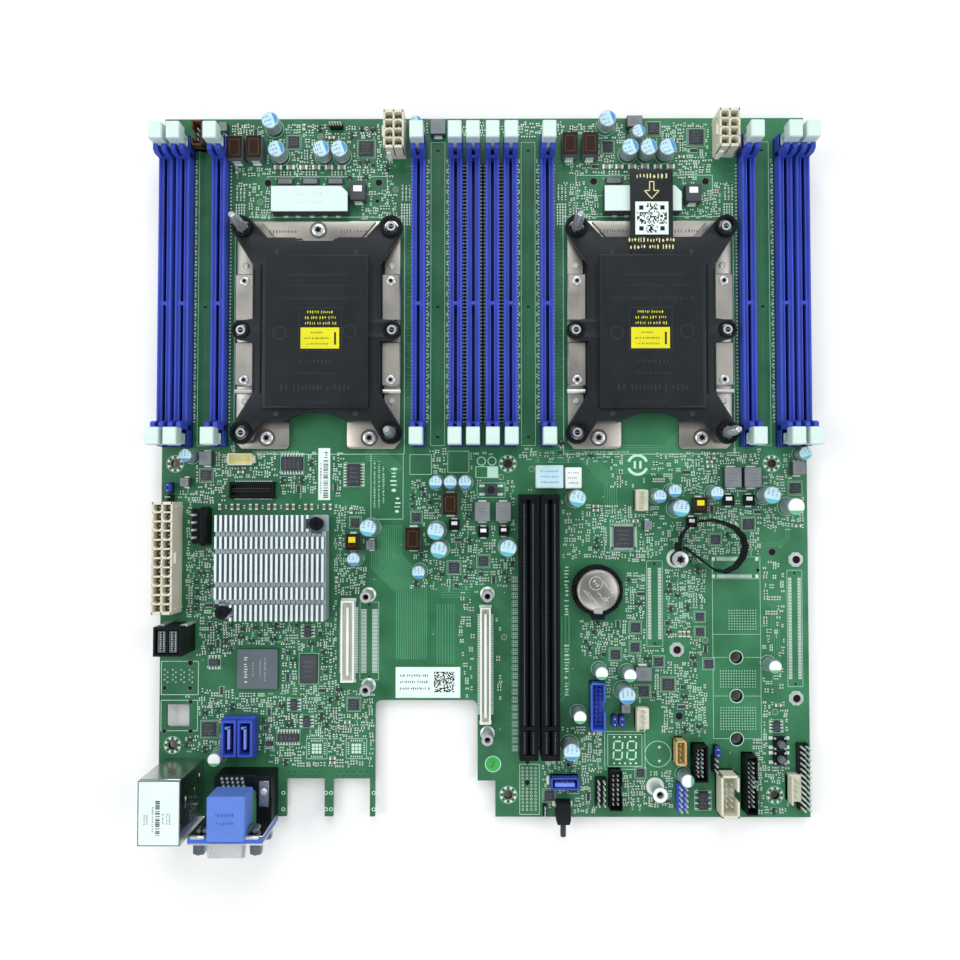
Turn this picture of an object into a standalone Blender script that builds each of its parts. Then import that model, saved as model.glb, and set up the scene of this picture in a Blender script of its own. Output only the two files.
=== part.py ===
"""Dual-socket server motherboard, built as separate solids. Metres, +Z up.

The origin is the centre of the board's underside. +X is to the right with the rear edge
(the one with the ports) facing -Y, and +Z is the component side.
"""
import math

import bmesh
import bpy
from mathutils import Matrix, Vector

MM = 0.001

# board
BOARD_X = 304.8
BOARD_Y = 330.2
BOARD_T = 2.0
GAP = 0.1
HOLE_R = 2.0
MOUNT_HOLES = [(-146.05, 0), (11.43, 0), (135.89, 0), (-146.05, -132.08), (11.43, -154.94), (135.89, -154.94)]
CARD_HOLES = [(118.4, -91.0), (118.4, -109.0), (118.4, -129.0)]
CARD_HOLE_R = 2.6
CUT_OUT = (-149.1, -138.3, -123.7, -113.1)
CUT_OUT_R = 1.0
FORK_DEPTH = 17.6
NOTCH_CORNERS = [(-47.9, -114.0), (-5.9, -114.0)]
NOTCH_R = 3.0
SEAT_LINE_Y = 7.5

# memory sockets, along Y
DIMM_X = [-149.0, -140.9, -124.2, -30.5, -13.1, -4.8, 4.1, 12.6, 29.8, 123.8, 141.0, 149.1]
DIMM_Y = 81.1
DIMM_W = 6.4
DIMM_HALF = 73.2
RAIL_H = 8.0
TOWER_H = 19.4
TOWER_INNER = 62.6
TOWER_OUTER = 65.2
SLOT_W = 1.5
SLOT_FLOOR = 2.2
KEY_Y = -6.5
KEY_W = 1.6
POCKET_INNER = 65.7
POCKET_W = 4.8
POCKET_FLOOR = 1.2

# memory latches, whose origin is their hinge axis
PIVOT_Y = 69.6
PIVOT_Z = 5.0
PIVOT_R = 0.9
LATCH_W = 4.3
LATCH_FOOT = 2.4
LATCH_BOTTOM = -2.6
HEAD_W = 6.2
HEAD_Z = 10.4
HEAD_TOP = 16.4

# processor sockets
CPU_X = [-78.0, 78.2]
CPU_Y = 62.3
STUD_X = 34.8
STUD_Y = 48.2
RAIL_OUT = 38.6
RAIL_IN = 31.2
PLATE_T = 2.0
NUT_R = 2.6
NUT_TOP = 8.4
PIN_R = 2.3
PIN_TIP_R = 1.3
PIN_TOP = 25.0
SOCKET_HALF_X = 30.6
SOCKET_Y = (-38.2, 42.4)
SOCKET_H = 5.2
WELL_HALF_X = 25.6
WELL_Y = (-36.6, 36.8)
WELL_FLOOR = 2.4
COVER_BOTTOM = 5.4
COVER_TOP = 8.0
PANEL_TOP = 10.0
PANEL_HALF_X = 24.6
PANEL_Y = (-37.2, 34.6)
LOOP_R = 5.0
LOOP_HOLE_R = 3.3
TAB_HALF_X = 9.9
TAB_END_Y = 74.4

# power headers
CELL_PITCH = 4.2
CELL_W = 3.5
HEADER_W = 9.6
HEADER_H = 12.8
HEADER_FLOOR = 3.6

# chipset heatsink
SINK_CENTRE = (-98.0, -48.3)
SINK_X = 51.0
SINK_Y = 48.4
SINK_H = 13.0
SINK_BASE = 2.6
SINK_FOOT = 1.8
FINS = 21
FIN_T = 0.9

# coin cell and its holder
CELL_CENTRE = (53.1, -59.3)
COIN_R = 10.0
COIN_T = 3.2
COIN_Z = 1.9
HOLDER_R = 11.9

# riser slots
RISER_X = [20.6, 30.6]
RISER_Y = -75.3
RISER_W = 8.6
RISER_HALF = 60.7
RISER_H = 11.0

# rear ports
LAN_X = (-149.6, -131.2)
LAN_Y = (-166.6, -138.6)
LAN_H = 30.0
VIDEO_X = -112.4
VIDEO_FLANGE_Y = -167.0
VIDEO_H = 29.4
SHELL_OUT = 6.0
STORAGE_H = 18.0

# buttons
TACT_X = 138.0
TACT_Y = {"power_button": -130.6, "reset_button": -137.5}
TACT_R = 1.75
ID_X = 36.7
ID_BODY_Y = (-166.8, -156.6)
ID_Z = 3.4
ID_R = 1.3
ID_LENGTH = 9.0

COLOURS = {
    "board_green": ((0.030, 0.125, 0.060), 0.45, 0.0),
    "socket_blue": ((0.030, 0.055, 0.420), 0.40, 0.0),
    "latch_white": ((0.720, 0.800, 0.780), 0.45, 0.0),
    "black_plastic": ((0.018, 0.019, 0.022), 0.45, 0.0),
    "header_cream": ((0.680, 0.640, 0.540), 0.50, 0.0),
    "steel": ((0.520, 0.500, 0.470), 0.32, 1.0),
    "port_steel": ((0.640, 0.640, 0.640), 0.25, 1.0),
    "sink_aluminium": ((0.700, 0.710, 0.730), 0.30, 1.0),
    "cell_steel": ((0.620, 0.600, 0.560), 0.28, 1.0),
    "video_blue": ((0.030, 0.080, 0.480), 0.42, 0.0),
}


def clear_scene():
    for item in list(bpy.data.objects):
        bpy.data.objects.remove(item, do_unlink=True)


def new_collection(name):
    collection = bpy.data.collections.new(name)
    bpy.context.scene.collection.children.link(collection)
    return collection


def material(name):
    colour, roughness, metallic = COLOURS[name]
    made = bpy.data.materials.get(name) or bpy.data.materials.new(name)
    made.use_nodes = True
    shader = made.node_tree.nodes["Principled BSDF"]
    shader.inputs["Base Color"].default_value = (*colour, 1.0)
    shader.inputs["Roughness"].default_value = roughness
    shader.inputs["Metallic"].default_value = metallic
    return made


def as_tool(bm, name="tool"):
    """A body used only to join to, or cut from, another one."""
    mesh = bpy.data.meshes.new(name)
    bm.to_mesh(mesh)
    bm.free()
    tool = bpy.data.objects.new(name, mesh)
    tool.hide_render = True
    tool.display_type = "WIRE"
    CUTTERS.objects.link(tool)
    return tool


def boxes(*spans):
    """Boxes given as (x0, x1, y0, y1, z0, z1) in millimetres."""
    bm = bmesh.new()
    for x0, x1, y0, y1, z0, z1 in spans:
        centre = Vector((x0 + x1, y0 + y1, z0 + z1)) * 0.5 * MM
        size = Matrix.Diagonal(((x1 - x0) * MM, (y1 - y0) * MM, (z1 - z0) * MM, 1.0))
        bmesh.ops.create_cube(bm, size=1.0, matrix=Matrix.Translation(centre) @ size)
    return as_tool(bm, "boxes")


def rods(*specs, axis="Z", sides=16):
    """Rods or cones given as (x, y, z, length, radius, end radius), centred on their point."""
    turn = {
        "X": Matrix.Rotation(math.pi / 2, 4, "Y"),
        "Y": Matrix.Rotation(math.pi / 2, 4, "X"),
        "Z": Matrix.Identity(4),
    }[axis]
    bm = bmesh.new()
    for x, y, z, length, r0, r1 in specs:
        place = Matrix.Translation(Vector((x, y, z)) * MM) @ turn
        bmesh.ops.create_cone(bm, cap_ends=True, segments=sides, radius1=r0 * MM, radius2=r1 * MM,
                              depth=length * MM, matrix=place)
    return as_tool(bm, "rods")


def plate(outline, holes, z0, z1):
    """A flat plate from an outline and its holes, both in millimetres."""
    curve = bpy.data.curves.new("outline", "CURVE")
    curve.dimensions = "2D"
    curve.fill_mode = "BOTH"
    curve.extrude = (z1 - z0) * 0.5 * MM
    for loop in [outline, *holes]:
        spline = curve.splines.new("POLY")
        spline.points.add(len(loop) - 1)
        spline.use_cyclic_u = True
        for point, (x, y) in zip(spline.points, loop):
            point.co = (x * MM, y * MM, 0.0, 1.0)
    flat = bpy.data.objects.new("outline", curve)
    flat.location.z = (z0 + z1) * 0.5 * MM
    CUTTERS.objects.link(flat)
    bpy.context.view_layer.update()
    mesh = bpy.data.meshes.new_from_object(flat.evaluated_get(bpy.context.evaluated_depsgraph_get()))
    bm = bmesh.new()
    bm.from_mesh(mesh)
    bmesh.ops.remove_doubles(bm, verts=bm.verts, dist=1e-6)
    bmesh.ops.recalc_face_normals(bm, faces=bm.faces)
    bm.transform(flat.matrix_world)
    bpy.data.objects.remove(flat, do_unlink=True)
    return as_tool(bm, "plate")


def circle(x, y, r, count=16, start=0.0, end=360.0):
    """Points along a circle; a full turn leaves out the repeated last point."""
    steps = count if end - start >= 360.0 else count - 1
    angles = [math.radians(start + (end - start) * i / steps) for i in range(count)]
    return [(x + r * math.cos(a), y + r * math.sin(a)) for a in angles]


def rectangle(x0, x1, y0, y1):
    return [(x0, y0), (x1, y0), (x1, y1), (x0, y1)]


def rounded(x0, x1, y0, y1, r):
    """A rectangle's outline with rounded corners."""
    turns = ((x1 - r, y1 - r, 0.0), (x0 + r, y1 - r, 90.0), (x0 + r, y0 + r, 180.0), (x1 - r, y0 + r, 270.0))
    return [point for x, y, start in turns for point in circle(x, y, r, 5, start, start + 90.0)]


def solid(base, join=(), cut=()):
    """The base body joined with some tools and cut by others, as one finished mesh."""
    for operation, tools in (("UNION", join), ("DIFFERENCE", cut)):
        for tool in tools:
            modifier = base.modifiers.new("shape", "BOOLEAN")
            modifier.operation = operation
            modifier.solver = "EXACT"
            modifier.object = tool
    bpy.context.view_layer.update()
    done = base.evaluated_get(bpy.context.evaluated_depsgraph_get())
    mesh = bpy.data.meshes.new_from_object(done)
    for tool in (base, *join, *cut):
        tool.hide_viewport = True
    return mesh


def solid_object(base, cut):
    """A body cut by tools, kept as a tool itself."""
    mesh = solid(base, cut=cut)
    bm = bmesh.new()
    bm.from_mesh(mesh)
    return as_tool(bm, "cut body")


def tidy(mesh, smooth_angle=30.0):
    """Joins vertices that a cut has left on top of each other and sets the shading."""
    bm = bmesh.new()
    bm.from_mesh(mesh)
    bmesh.ops.remove_doubles(bm, verts=bm.verts, dist=1e-6)
    bmesh.ops.dissolve_degenerate(bm, edges=bm.edges, dist=1e-6)
    bm.to_mesh(mesh)
    bm.free()
    mesh.shade_smooth()
    mesh.set_sharp_from_angle(angle=math.radians(smooth_angle))
    return mesh


def place(name, mesh, colour, x, y, z=BOARD_T, turn=0.0):
    """A named part from a mesh whose own origin goes to the given point in millimetres."""
    part = bpy.data.objects.new(name, mesh)
    part.location = Vector((x, y, z)) * MM
    part.rotation_euler.z = math.radians(turn)
    if not mesh.materials:
        mesh.materials.append(material(colour))
    PARTS.objects.link(part)
    return part


def board_outline():
    """The board's edge with the large rear notch and the two fork notches beside it."""
    left, right = -BOARD_X / 2, BOARD_X / 2
    rear, front = -BOARD_Y / 2, BOARD_Y / 2
    notch_left, notch_right = NOTCH_CORNERS
    notch = circle(*notch_left, NOTCH_R, 5, 180, 90) + circle(*notch_right, NOTCH_R, 5, 90, 0)
    deep = rear + FORK_DEPTH
    forks = [(-92.3, rear), (-92.3, deep), (-74.5, deep), (-74.5, rear), (-70.5, rear), (-70.5, deep),
             (-53.3, deep), (-53.3, rear), (-50.9, rear)]
    step = [(-2.9, -148.4), (5.4, -148.4), (5.4, rear)]
    return [(left, front), (left, rear), *forks, *notch, *step, (right, rear), (right, front)]


def make_board():
    holes = [circle(x, y, HOLE_R) for x, y in MOUNT_HOLES]
    holes += [circle(x, y, CARD_HOLE_R, 12) for x, y in CARD_HOLES]
    holes.append(rounded(*CUT_OUT, CUT_OUT_R))
    blank = plate(board_outline(), holes, 0.0, BOARD_T)
    bm = bmesh.new()
    bm.from_mesh(blank.data)
    bmesh.ops.bisect_plane(bm, geom=bm.verts[:] + bm.edges[:] + bm.faces[:], dist=1e-7,
                           plane_co=(0.0, SEAT_LINE_Y * MM, 0.0), plane_no=(0.0, 1.0, 0.0))
    mesh = bpy.data.meshes.new("board")
    bm.to_mesh(mesh)
    bm.free()
    blank.hide_viewport = True
    place("pcb", mesh, "board_green", 0.0, 0.0, 0.0)


def memory_socket_mesh():
    """A long rail with a keyed slot, a tower at each end, and a pocket for each latch."""
    half_w = DIMM_W / 2
    rail = boxes((-half_w, half_w, -DIMM_HALF, DIMM_HALF, GAP, RAIL_H))
    towers = [boxes((-half_w, half_w, *sorted((s * TOWER_INNER, s * TOWER_OUTER)), RAIL_H - 1, TOWER_H))
              for s in (-1, 1)]
    slot_ends = ((-POCKET_INNER - 1, KEY_Y - KEY_W / 2), (KEY_Y + KEY_W / 2, POCKET_INNER + 1))
    slot = boxes(*[(-SLOT_W / 2, SLOT_W / 2, a, b, SLOT_FLOOR, TOWER_H + 1) for a, b in slot_ends])
    pockets = boxes(*[(-POCKET_W / 2, POCKET_W / 2, *sorted((s * POCKET_INNER, s * (DIMM_HALF + 1))),
                       POCKET_FLOOR, RAIL_H + 1) for s in (-1, 1)])
    bores = rods(*[(0, s * PIVOT_Y, PIVOT_Z, DIMM_W + 2, PIVOT_R + 0.3, PIVOT_R + 0.3) for s in (-1, 1)],
                 axis="X", sides=8)
    return tidy(solid(rail, join=towers, cut=[slot, pockets, bores]))


def latch_mesh():
    """A latch that opens towards +Y: a foot and column with two pivot bosses, and a wide head."""
    half = LATCH_W / 2
    foot = boxes((-half, half, -LATCH_FOOT, LATCH_FOOT, LATCH_BOTTOM, HEAD_Z + 1))
    head = boxes((-HEAD_W / 2, HEAD_W / 2, -4.2, 4.4, HEAD_Z, HEAD_TOP))
    boss_span = DIMM_W - 0.3
    bosses = rods((0, 0, 0, boss_span, PIVOT_R, PIVOT_R), axis="X", sides=8)
    return tidy(solid(foot, join=[head, bosses]))


def make_memory():
    socket = memory_socket_mesh()
    latch = latch_mesh()
    for number, x in enumerate(DIMM_X, 1):
        place(f"dimm_socket_{number:02d}", socket, "socket_blue", x, DIMM_Y)
        place(f"dimm_latch_front_{number:02d}", latch, "latch_white", x, DIMM_Y + PIVOT_Y, BOARD_T + PIVOT_Z)
        place(f"dimm_latch_rear_{number:02d}", latch, "latch_white", x, DIMM_Y - PIVOT_Y, BOARD_T + PIVOT_Z, 180)


def bolster_mesh():
    """The U-shaped load plate with two guide pins and four nuts standing on it."""
    outline = [(-36.0, 52.6), (-RAIL_OUT, 49.4), (-RAIL_OUT, -52.4), (-36.0, -55.4), (-15.0, -55.4),
               (-13.6, -54.0), (-13.6, -43.0), (-RAIL_IN, -40.0), (-RAIL_IN, 43.0), (RAIL_IN, 43.0),
               (RAIL_IN, -40.0), (13.6, -43.0), (13.6, -54.0), (15.0, -55.4), (36.0, -55.4),
               (RAIL_OUT, -52.4), (RAIL_OUT, 49.4), (36.0, 52.6)]
    top = PLATE_T + 0.3
    base = plate(outline, [], 0.3, top)
    nuts = [(STUD_X, STUD_Y), (-STUD_X, -STUD_Y), (-35.2, -0.3), (35.2, -0.3)]
    pins = [(-STUD_X, STUD_Y), (STUD_X, -STUD_Y)]
    low = top - 0.8
    studs = rods(*[(x, y, (low + NUT_TOP) / 2, NUT_TOP - low, NUT_R, NUT_R) for x, y in nuts], sides=12)
    guides = rods(*[(x, y, (low + PIN_TOP) / 2, PIN_TOP - low, PIN_R, PIN_TIP_R) for x, y in pins], sides=12)
    return tidy(solid(base, join=[studs, guides]))


def processor_socket_mesh():
    body = boxes((-SOCKET_HALF_X, SOCKET_HALF_X, *SOCKET_Y, GAP, SOCKET_H))
    well = boxes((-WELL_HALF_X, WELL_HALF_X, *WELL_Y, WELL_FLOOR, SOCKET_H + 1))
    centre_wall = boxes((-9.0, 9.0, -1.2, 1.2, WELL_FLOOR - 0.5, SOCKET_H - 0.6))
    return tidy(solid(solid_object(body, [well]), join=[centre_wall]))


def cover_outline():
    """One half of the cap's edge, from the arch at the rear to the dip at the front, then its mirror."""
    side = 29.8
    half = [(13.0, -42.2), (25.4, -43.0)]
    half += circle(STUD_X, -STUD_Y, LOOP_R, 9, -135, 22)
    half += [(side, -30.0), (side, -5.6)]
    half += circle(35.2, -0.3, 4.5, 7, -80, 80)
    half += [(side, 5.0), (side, 30.5)]
    half += circle(STUD_X, STUD_Y, LOOP_R, 9, -22, 135)
    half += [(23.0, 43.2), (10.0, 43.2), (8.0, 41.2)]
    arch = circle(0.0, -64.4, 25.7, 9, 120.0, 60.0)[1:-1]
    return arch + half + [(-x, y) for x, y in reversed(half)]


def cover_mesh(with_tab):
    """The protective cap, with holes over the studs, a raised panel and, on one cap, a pull tab."""
    holes = [circle(s * STUD_X, t * STUD_Y, LOOP_HOLE_R, 12) for s in (-1, 1) for t in (-1, 1)]
    holes += [circle(s * 35.2, -0.3, 3.0, 12) for s in (-1, 1)]
    base = plate(cover_outline(), holes, COVER_BOTTOM, COVER_TOP)
    raised = [boxes((-PANEL_HALF_X, PANEL_HALF_X, *PANEL_Y, COVER_TOP - 1, PANEL_TOP))]
    if with_tab:
        raised.append(boxes((-TAB_HALF_X, TAB_HALF_X, 28.0, TAB_END_Y, COVER_TOP - 0.2, COVER_TOP + 1.2)))
    return tidy(solid(base, join=raised))


def backplate_mesh():
    outline = [(-36.0, 54.0), (-39.0, 51.0), (-39.0, -51.0), (-36.0, -54.0), (36.0, -54.0), (39.0, -51.0),
               (39.0, 51.0), (36.0, 54.0)]
    return tidy(solid(plate(outline, [rectangle(-22.0, 22.0, -28.0, 28.0)], -2.3, -0.3)))


def make_processor_sockets():
    bolster = bolster_mesh()
    socket = processor_socket_mesh()
    backplate = backplate_mesh()
    covers = {"left": cover_mesh(False), "right": cover_mesh(True)}
    for side, x in zip(("left", "right"), CPU_X):
        place(f"bolster_plate_{side}", bolster, "steel", x, CPU_Y)
        place(f"cpu_socket_{side}", socket, "black_plastic", x, CPU_Y)
        place(f"backplate_{side}", backplate, "steel", x, CPU_Y, 0.0)
        place(f"socket_cover_{side}", covers[side], "black_plastic", x, CPU_Y)


def header_mesh(rows):
    """A two-column power header with square cavities and a latch ramp on its +X side."""
    half_y = rows * CELL_PITCH / 2 + 0.6
    body = boxes((-HEADER_W / 2, HEADER_W / 2, -half_y, half_y, GAP, HEADER_H))
    ramp = boxes((HEADER_W / 2 - 0.3, HEADER_W / 2 + 0.9, -2.6, 2.6, 7.6, 10.2))
    cells = boxes(*[(c * CELL_PITCH / 2 - CELL_W / 2, c * CELL_PITCH / 2 + CELL_W / 2,
                     (r - (rows - 1) / 2) * CELL_PITCH - CELL_W / 2,
                     (r - (rows - 1) / 2) * CELL_PITCH + CELL_W / 2, HEADER_FLOOR, HEADER_H + 1)
                    for c in (-1, 1) for r in range(rows)])
    return tidy(solid(body, join=[ramp], cut=[cells]))


def make_power_headers():
    place("atx_power_header", header_mesh(12), "header_cream", -147.1, -43.8)
    eps = header_mesh(4)
    place("eps_power_header_left", eps, "header_cream", -41.7, 154.6, turn=180)
    place("eps_power_header_right", eps, "header_cream", 113.8, 155.0, turn=180)


def make_heatsink():
    """A finned block on a short pedestal, with two corners left clear for its push pins."""
    half_x, half_y = SINK_X / 2, SINK_Y / 2
    base = boxes((-half_x, half_x, -half_y, half_y, SINK_FOOT, SINK_FOOT + SINK_BASE))
    pitch = (SINK_X - FIN_T) / (FINS - 1)
    fins = boxes(*[(-half_x + i * pitch, -half_x + i * pitch + FIN_T, -half_y, half_y,
                    SINK_FOOT + SINK_BASE - 0.5, SINK_H) for i in range(FINS)])
    pedestal = boxes((-14.0, 14.0, -14.0, 14.0, GAP, SINK_FOOT + 0.5))
    corner = 8.0
    clear = [boxes((half_x - corner, half_x + 1, half_y - corner, half_y + 1, SINK_FOOT + SINK_BASE, SINK_H + 1)),
             boxes((-half_x - 1, corner - half_x, -half_y - 1, corner - half_y, SINK_FOOT + SINK_BASE, SINK_H + 1))]
    mesh = tidy(solid(base, join=[fins, pedestal], cut=clear))
    place("chipset_heatsink", mesh, "sink_aluminium", *SINK_CENTRE)


def make_coin_cell():
    """A round cup with two side openings and a contact clip post, and the cell lying in it."""
    x, y = CELL_CENTRE
    floor_top = COIN_Z - 0.3
    cup = rods((0, 0, (GAP + 5.2) / 2, 5.2 - GAP, HOLDER_R, HOLDER_R), sides=36)
    inside = rods((0, 0, floor_top + 3, 6, COIN_R + 0.4, COIN_R + 0.4), sides=36)
    gaps = boxes((-HOLDER_R - 1, HOLDER_R + 1, -4.0, 4.0, floor_top, 9.0))
    post = boxes((-3.0, 3.0, -HOLDER_R - 1.4, -COIN_R - 0.7, GAP, 6.4))
    place("battery_holder", tidy(solid(cup, join=[post], cut=[inside, gaps])), "black_plastic", x, y)
    coin = rods((0, 0, COIN_T / 2, COIN_T, COIN_R, COIN_R), sides=36)
    place("coin_cell", tidy(solid(coin)), "cell_steel", x, y, BOARD_T + COIN_Z)


def make_riser_slots():
    half_w = RISER_W / 2
    body = boxes((-half_w, half_w, -RISER_HALF, RISER_HALF, GAP, RISER_H))
    key = -46.2
    slot = boxes((-0.95, 0.95, key + 1.0, RISER_HALF - 2.6, 2.6, RISER_H + 1),
                 (-0.95, 0.95, -RISER_HALF + 2.6, key - 1.0, 2.6, RISER_H + 1))
    mesh = tidy(solid(body, cut=[slot]))
    for name, x in zip(("left", "right"), RISER_X):
        place(f"riser_slot_{name}", mesh, "black_plastic", x, RISER_Y)


def make_network_stack():
    """A metal can with a network jack above two USB ports, open at the rear."""
    x0, x1 = LAN_X
    y0, y1 = LAN_Y
    middle = (x0 + x1) / 2
    can = boxes((x0, x1, y0, y1, GAP, LAN_H))
    jack = boxes((middle - 5.9, middle + 5.9, y0 - 1, y0 + 13.0, 18.6, 26.8))
    ports = boxes((middle - 6.5, middle + 6.5, y0 - 1, y0 + 11.0, 1.7, 6.9),
                  (middle - 6.5, middle + 6.5, y0 - 1, y0 + 11.0, 9.7, 14.9))
    cut_can = solid_object(can, [jack, ports])
    tongues = boxes((middle - 5.6, middle + 5.6, y0 + 1.6, y0 + 11.5, 4.6, 6.2),
                    (middle - 5.6, middle + 5.6, y0 + 1.6, y0 + 11.5, 12.6, 14.2))
    place("lan_usb_stack", tidy(solid(cut_can, join=[tongues])), "port_steel", 0.0, 0.0)


def shell_outline(half_width, half_height, z):
    """The tapered D of a connector shell, as (x, z) points."""
    slant = 1.3
    return [(-half_width, z + half_height), (-half_width + slant, z - half_height),
            (half_width - slant, z - half_height), (half_width, z + half_height)]


def standing_plate(outline, holes, y0, y1):
    """A plate whose outline is in X and Z and whose thickness runs along Y."""
    flat = plate(outline, holes, y0, y1)
    flat.data.transform(Matrix.Rotation(math.pi / 2, 4, "X"))
    flat.data.transform(Matrix.Diagonal((1.0, -1.0, 1.0, 1.0)))
    flat.data.flip_normals()
    return flat


def make_video_stack():
    """A serial port below a video port, on one flange with D-shaped shells."""
    y = VIDEO_FLANGE_Y
    flange = boxes((-16.3, 16.3, y, y + 3.0, GAP, VIDEO_H - 1.0))
    body = boxes((-9.6, 16.2, y + 2.0, -142.2, GAP, 12.6))
    riser = boxes((-9.0, 9.0, y + 2.0, -147.0, 11.0, 19.0))
    hood = boxes((-8.3, 8.3, y + 2.0, -145.6, 18.0, VIDEO_H + 0.4))
    video = standing_plate(shell_outline(8.1, 4.0, 22.6), [], y - SHELL_OUT, y + 1.0)
    serial = standing_plate(shell_outline(8.6, 4.2, 6.2), [], y - SHELL_OUT, y + 1.0)
    hollow = standing_plate(shell_outline(8.1, 3.8, 6.2), [], y - SHELL_OUT - 1.0, y + 0.4)
    nuts = rods(*[(x, y - 2.7, z, 5.8, 2.6, 2.6) for x in (-12.5, 12.5) for z in (6.2, 22.6)],
                axis="Y", sides=6)
    mesh = tidy(solid(flange, join=[body, riser, hood, video, serial, nuts], cut=[hollow]))
    place("video_serial_stack", mesh, "video_blue", VIDEO_X, 0.0)


def make_storage_connector():
    """A square double storage connector, open at the top around two contact tongues."""
    body = boxes((-6.4, 6.4, -6.6, 6.6, GAP, STORAGE_H))
    wells = boxes((0.9, 5.2, -5.2, 5.2, 6.0, STORAGE_H + 1), (-5.2, -0.9, -5.2, 5.2, 6.0, STORAGE_H + 1))
    cut_body = solid_object(body, [wells])
    tongues = boxes((2.5, 3.5, -4.4, 4.4, 5.5, STORAGE_H - 1), (-3.5, -2.5, -4.4, 4.4, 5.5, STORAGE_H - 1))
    place("sas_connector", tidy(solid(cut_body, join=[tongues])), "black_plastic", -142.2, -81.0)


def make_buttons():
    """Two round switch caps that press down, and a rear button that presses towards +Y."""
    cap = rods((0, 0, 1.3, 2.6, TACT_R, TACT_R), sides=20)
    cap_mesh = tidy(solid(cap))
    for name, y in TACT_Y.items():
        place(name, cap_mesh, "black_plastic", TACT_X, y, BOARD_T + 2.2)
    y0, y1 = ID_BODY_Y
    body = boxes((-3.4, 3.4, y0, y1, GAP, 6.4))
    bore = rods((0, y0 + 2.0, ID_Z, 6.0, ID_R + 0.3, ID_R + 0.3), axis="Y", sides=16)
    place("id_button_body", tidy(solid(body, cut=[bore])), "black_plastic", ID_X, 0.0)
    plunger = rods((0, 0, 0, ID_LENGTH, ID_R, ID_R), axis="Y", sides=16)
    place("id_button", tidy(solid(plunger)), "black_plastic", ID_X, y0 - 1.6, BOARD_T + ID_Z)


clear_scene()
PARTS = new_collection("motherboard")
CUTTERS = new_collection("cutters")
make_board()
make_memory()
make_processor_sockets()
make_power_headers()
make_heatsink()
make_coin_cell()
make_riser_slots()
make_network_stack()
make_video_stack()
make_storage_connector()
make_buttons()
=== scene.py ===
"""Looks for the dual-socket server motherboard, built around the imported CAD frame.

Lengths are millimetres in the CAD frame: the origin is the centre of the board's underside, +X is to the
right, the rear edge with the ports faces -Y, and +Z is the component side. Mesh code scales them to metres.
"""

import math
import random

import bmesh
import bpy
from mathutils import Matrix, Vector


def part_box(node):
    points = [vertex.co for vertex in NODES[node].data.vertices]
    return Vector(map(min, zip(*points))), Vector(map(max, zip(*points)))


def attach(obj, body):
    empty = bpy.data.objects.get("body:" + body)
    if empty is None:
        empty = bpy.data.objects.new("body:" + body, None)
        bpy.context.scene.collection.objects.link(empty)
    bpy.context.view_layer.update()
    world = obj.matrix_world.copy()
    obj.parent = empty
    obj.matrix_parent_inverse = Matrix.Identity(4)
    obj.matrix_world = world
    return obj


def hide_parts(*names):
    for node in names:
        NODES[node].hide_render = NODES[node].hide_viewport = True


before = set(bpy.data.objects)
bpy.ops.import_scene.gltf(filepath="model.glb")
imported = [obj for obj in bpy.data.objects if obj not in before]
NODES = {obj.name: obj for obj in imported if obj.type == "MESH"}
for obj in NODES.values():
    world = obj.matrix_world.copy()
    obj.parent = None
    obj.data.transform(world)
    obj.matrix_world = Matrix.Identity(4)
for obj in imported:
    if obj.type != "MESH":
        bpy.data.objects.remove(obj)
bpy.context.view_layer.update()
MM = 0.001
RANDOM = random.Random(7)

# Flat marks start a little below the face they lie on. Heights are above that face.
SUNK, TRACK_TOP, INK_TOP, PAD_TOP = -0.01, 0.012, 0.03, 0.07
SMOOTH_BELOW = 32
PIN_STEP = 2.54
SOCKET_X, SOCKET_Y = (-78.0, 78.2), 62.3
STRAY_VIAS, UNDERSIDE_PARTS = 900, 420


def span(node):
    """The box of a CAD node as (x0, x1, y0, y1, z0, z1) in millimetres."""
    low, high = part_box(node)
    return tuple(v / MM for pair in zip(low, high) for v in pair)


def centre(node):
    x0, x1, y0, y1, _, _ = span(node)
    return (x0 + x1) / 2, (y0 + y1) / 2


BOARD = span("pcb")
TOP = BOARD[5]


# ---------------------------------------------------------------- materials

def linear(code):
    """A hex colour code as linear red, green, blue and alpha."""
    parts = [int(code[i:i + 2], 16) / 255 for i in (1, 3, 5)]
    return (*[p / 12.92 if p < 0.04045 else ((p + 0.055) / 1.055) ** 2.4 for p in parts], 1.0)


def shade(colour, factor):
    return (*[min(1.0, c * factor) for c in colour[:3]], 1.0)


def add_noise(tree, scale, detail=3.0, stretch=(1.0, 1.0, 1.0)):
    """Noise in the object's own space, whose scale is features per metre."""
    coords = tree.nodes.new("ShaderNodeTexCoord")
    mapping = tree.nodes.new("ShaderNodeMapping")
    mapping.inputs["Scale"].default_value = stretch
    noise = tree.nodes.new("ShaderNodeTexNoise")
    noise.inputs["Scale"].default_value = scale
    noise.inputs["Detail"].default_value = detail
    tree.links.new(coords.outputs["Object"], mapping.inputs["Vector"])
    tree.links.new(mapping.outputs["Vector"], noise.inputs["Vector"])
    return noise.outputs["Fac"]


def add_ramp(tree, factor, stops):
    ramp = tree.nodes.new("ShaderNodeValToRGB")
    ramp.color_ramp.elements[0].position, ramp.color_ramp.elements[0].color = stops[0]
    ramp.color_ramp.elements[1].position, ramp.color_ramp.elements[1].color = stops[-1]
    for position, colour in stops[1:-1]:
        ramp.color_ramp.elements.new(position).color = colour
    tree.links.new(factor, ramp.inputs["Fac"])
    return ramp.outputs["Color"]


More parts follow.
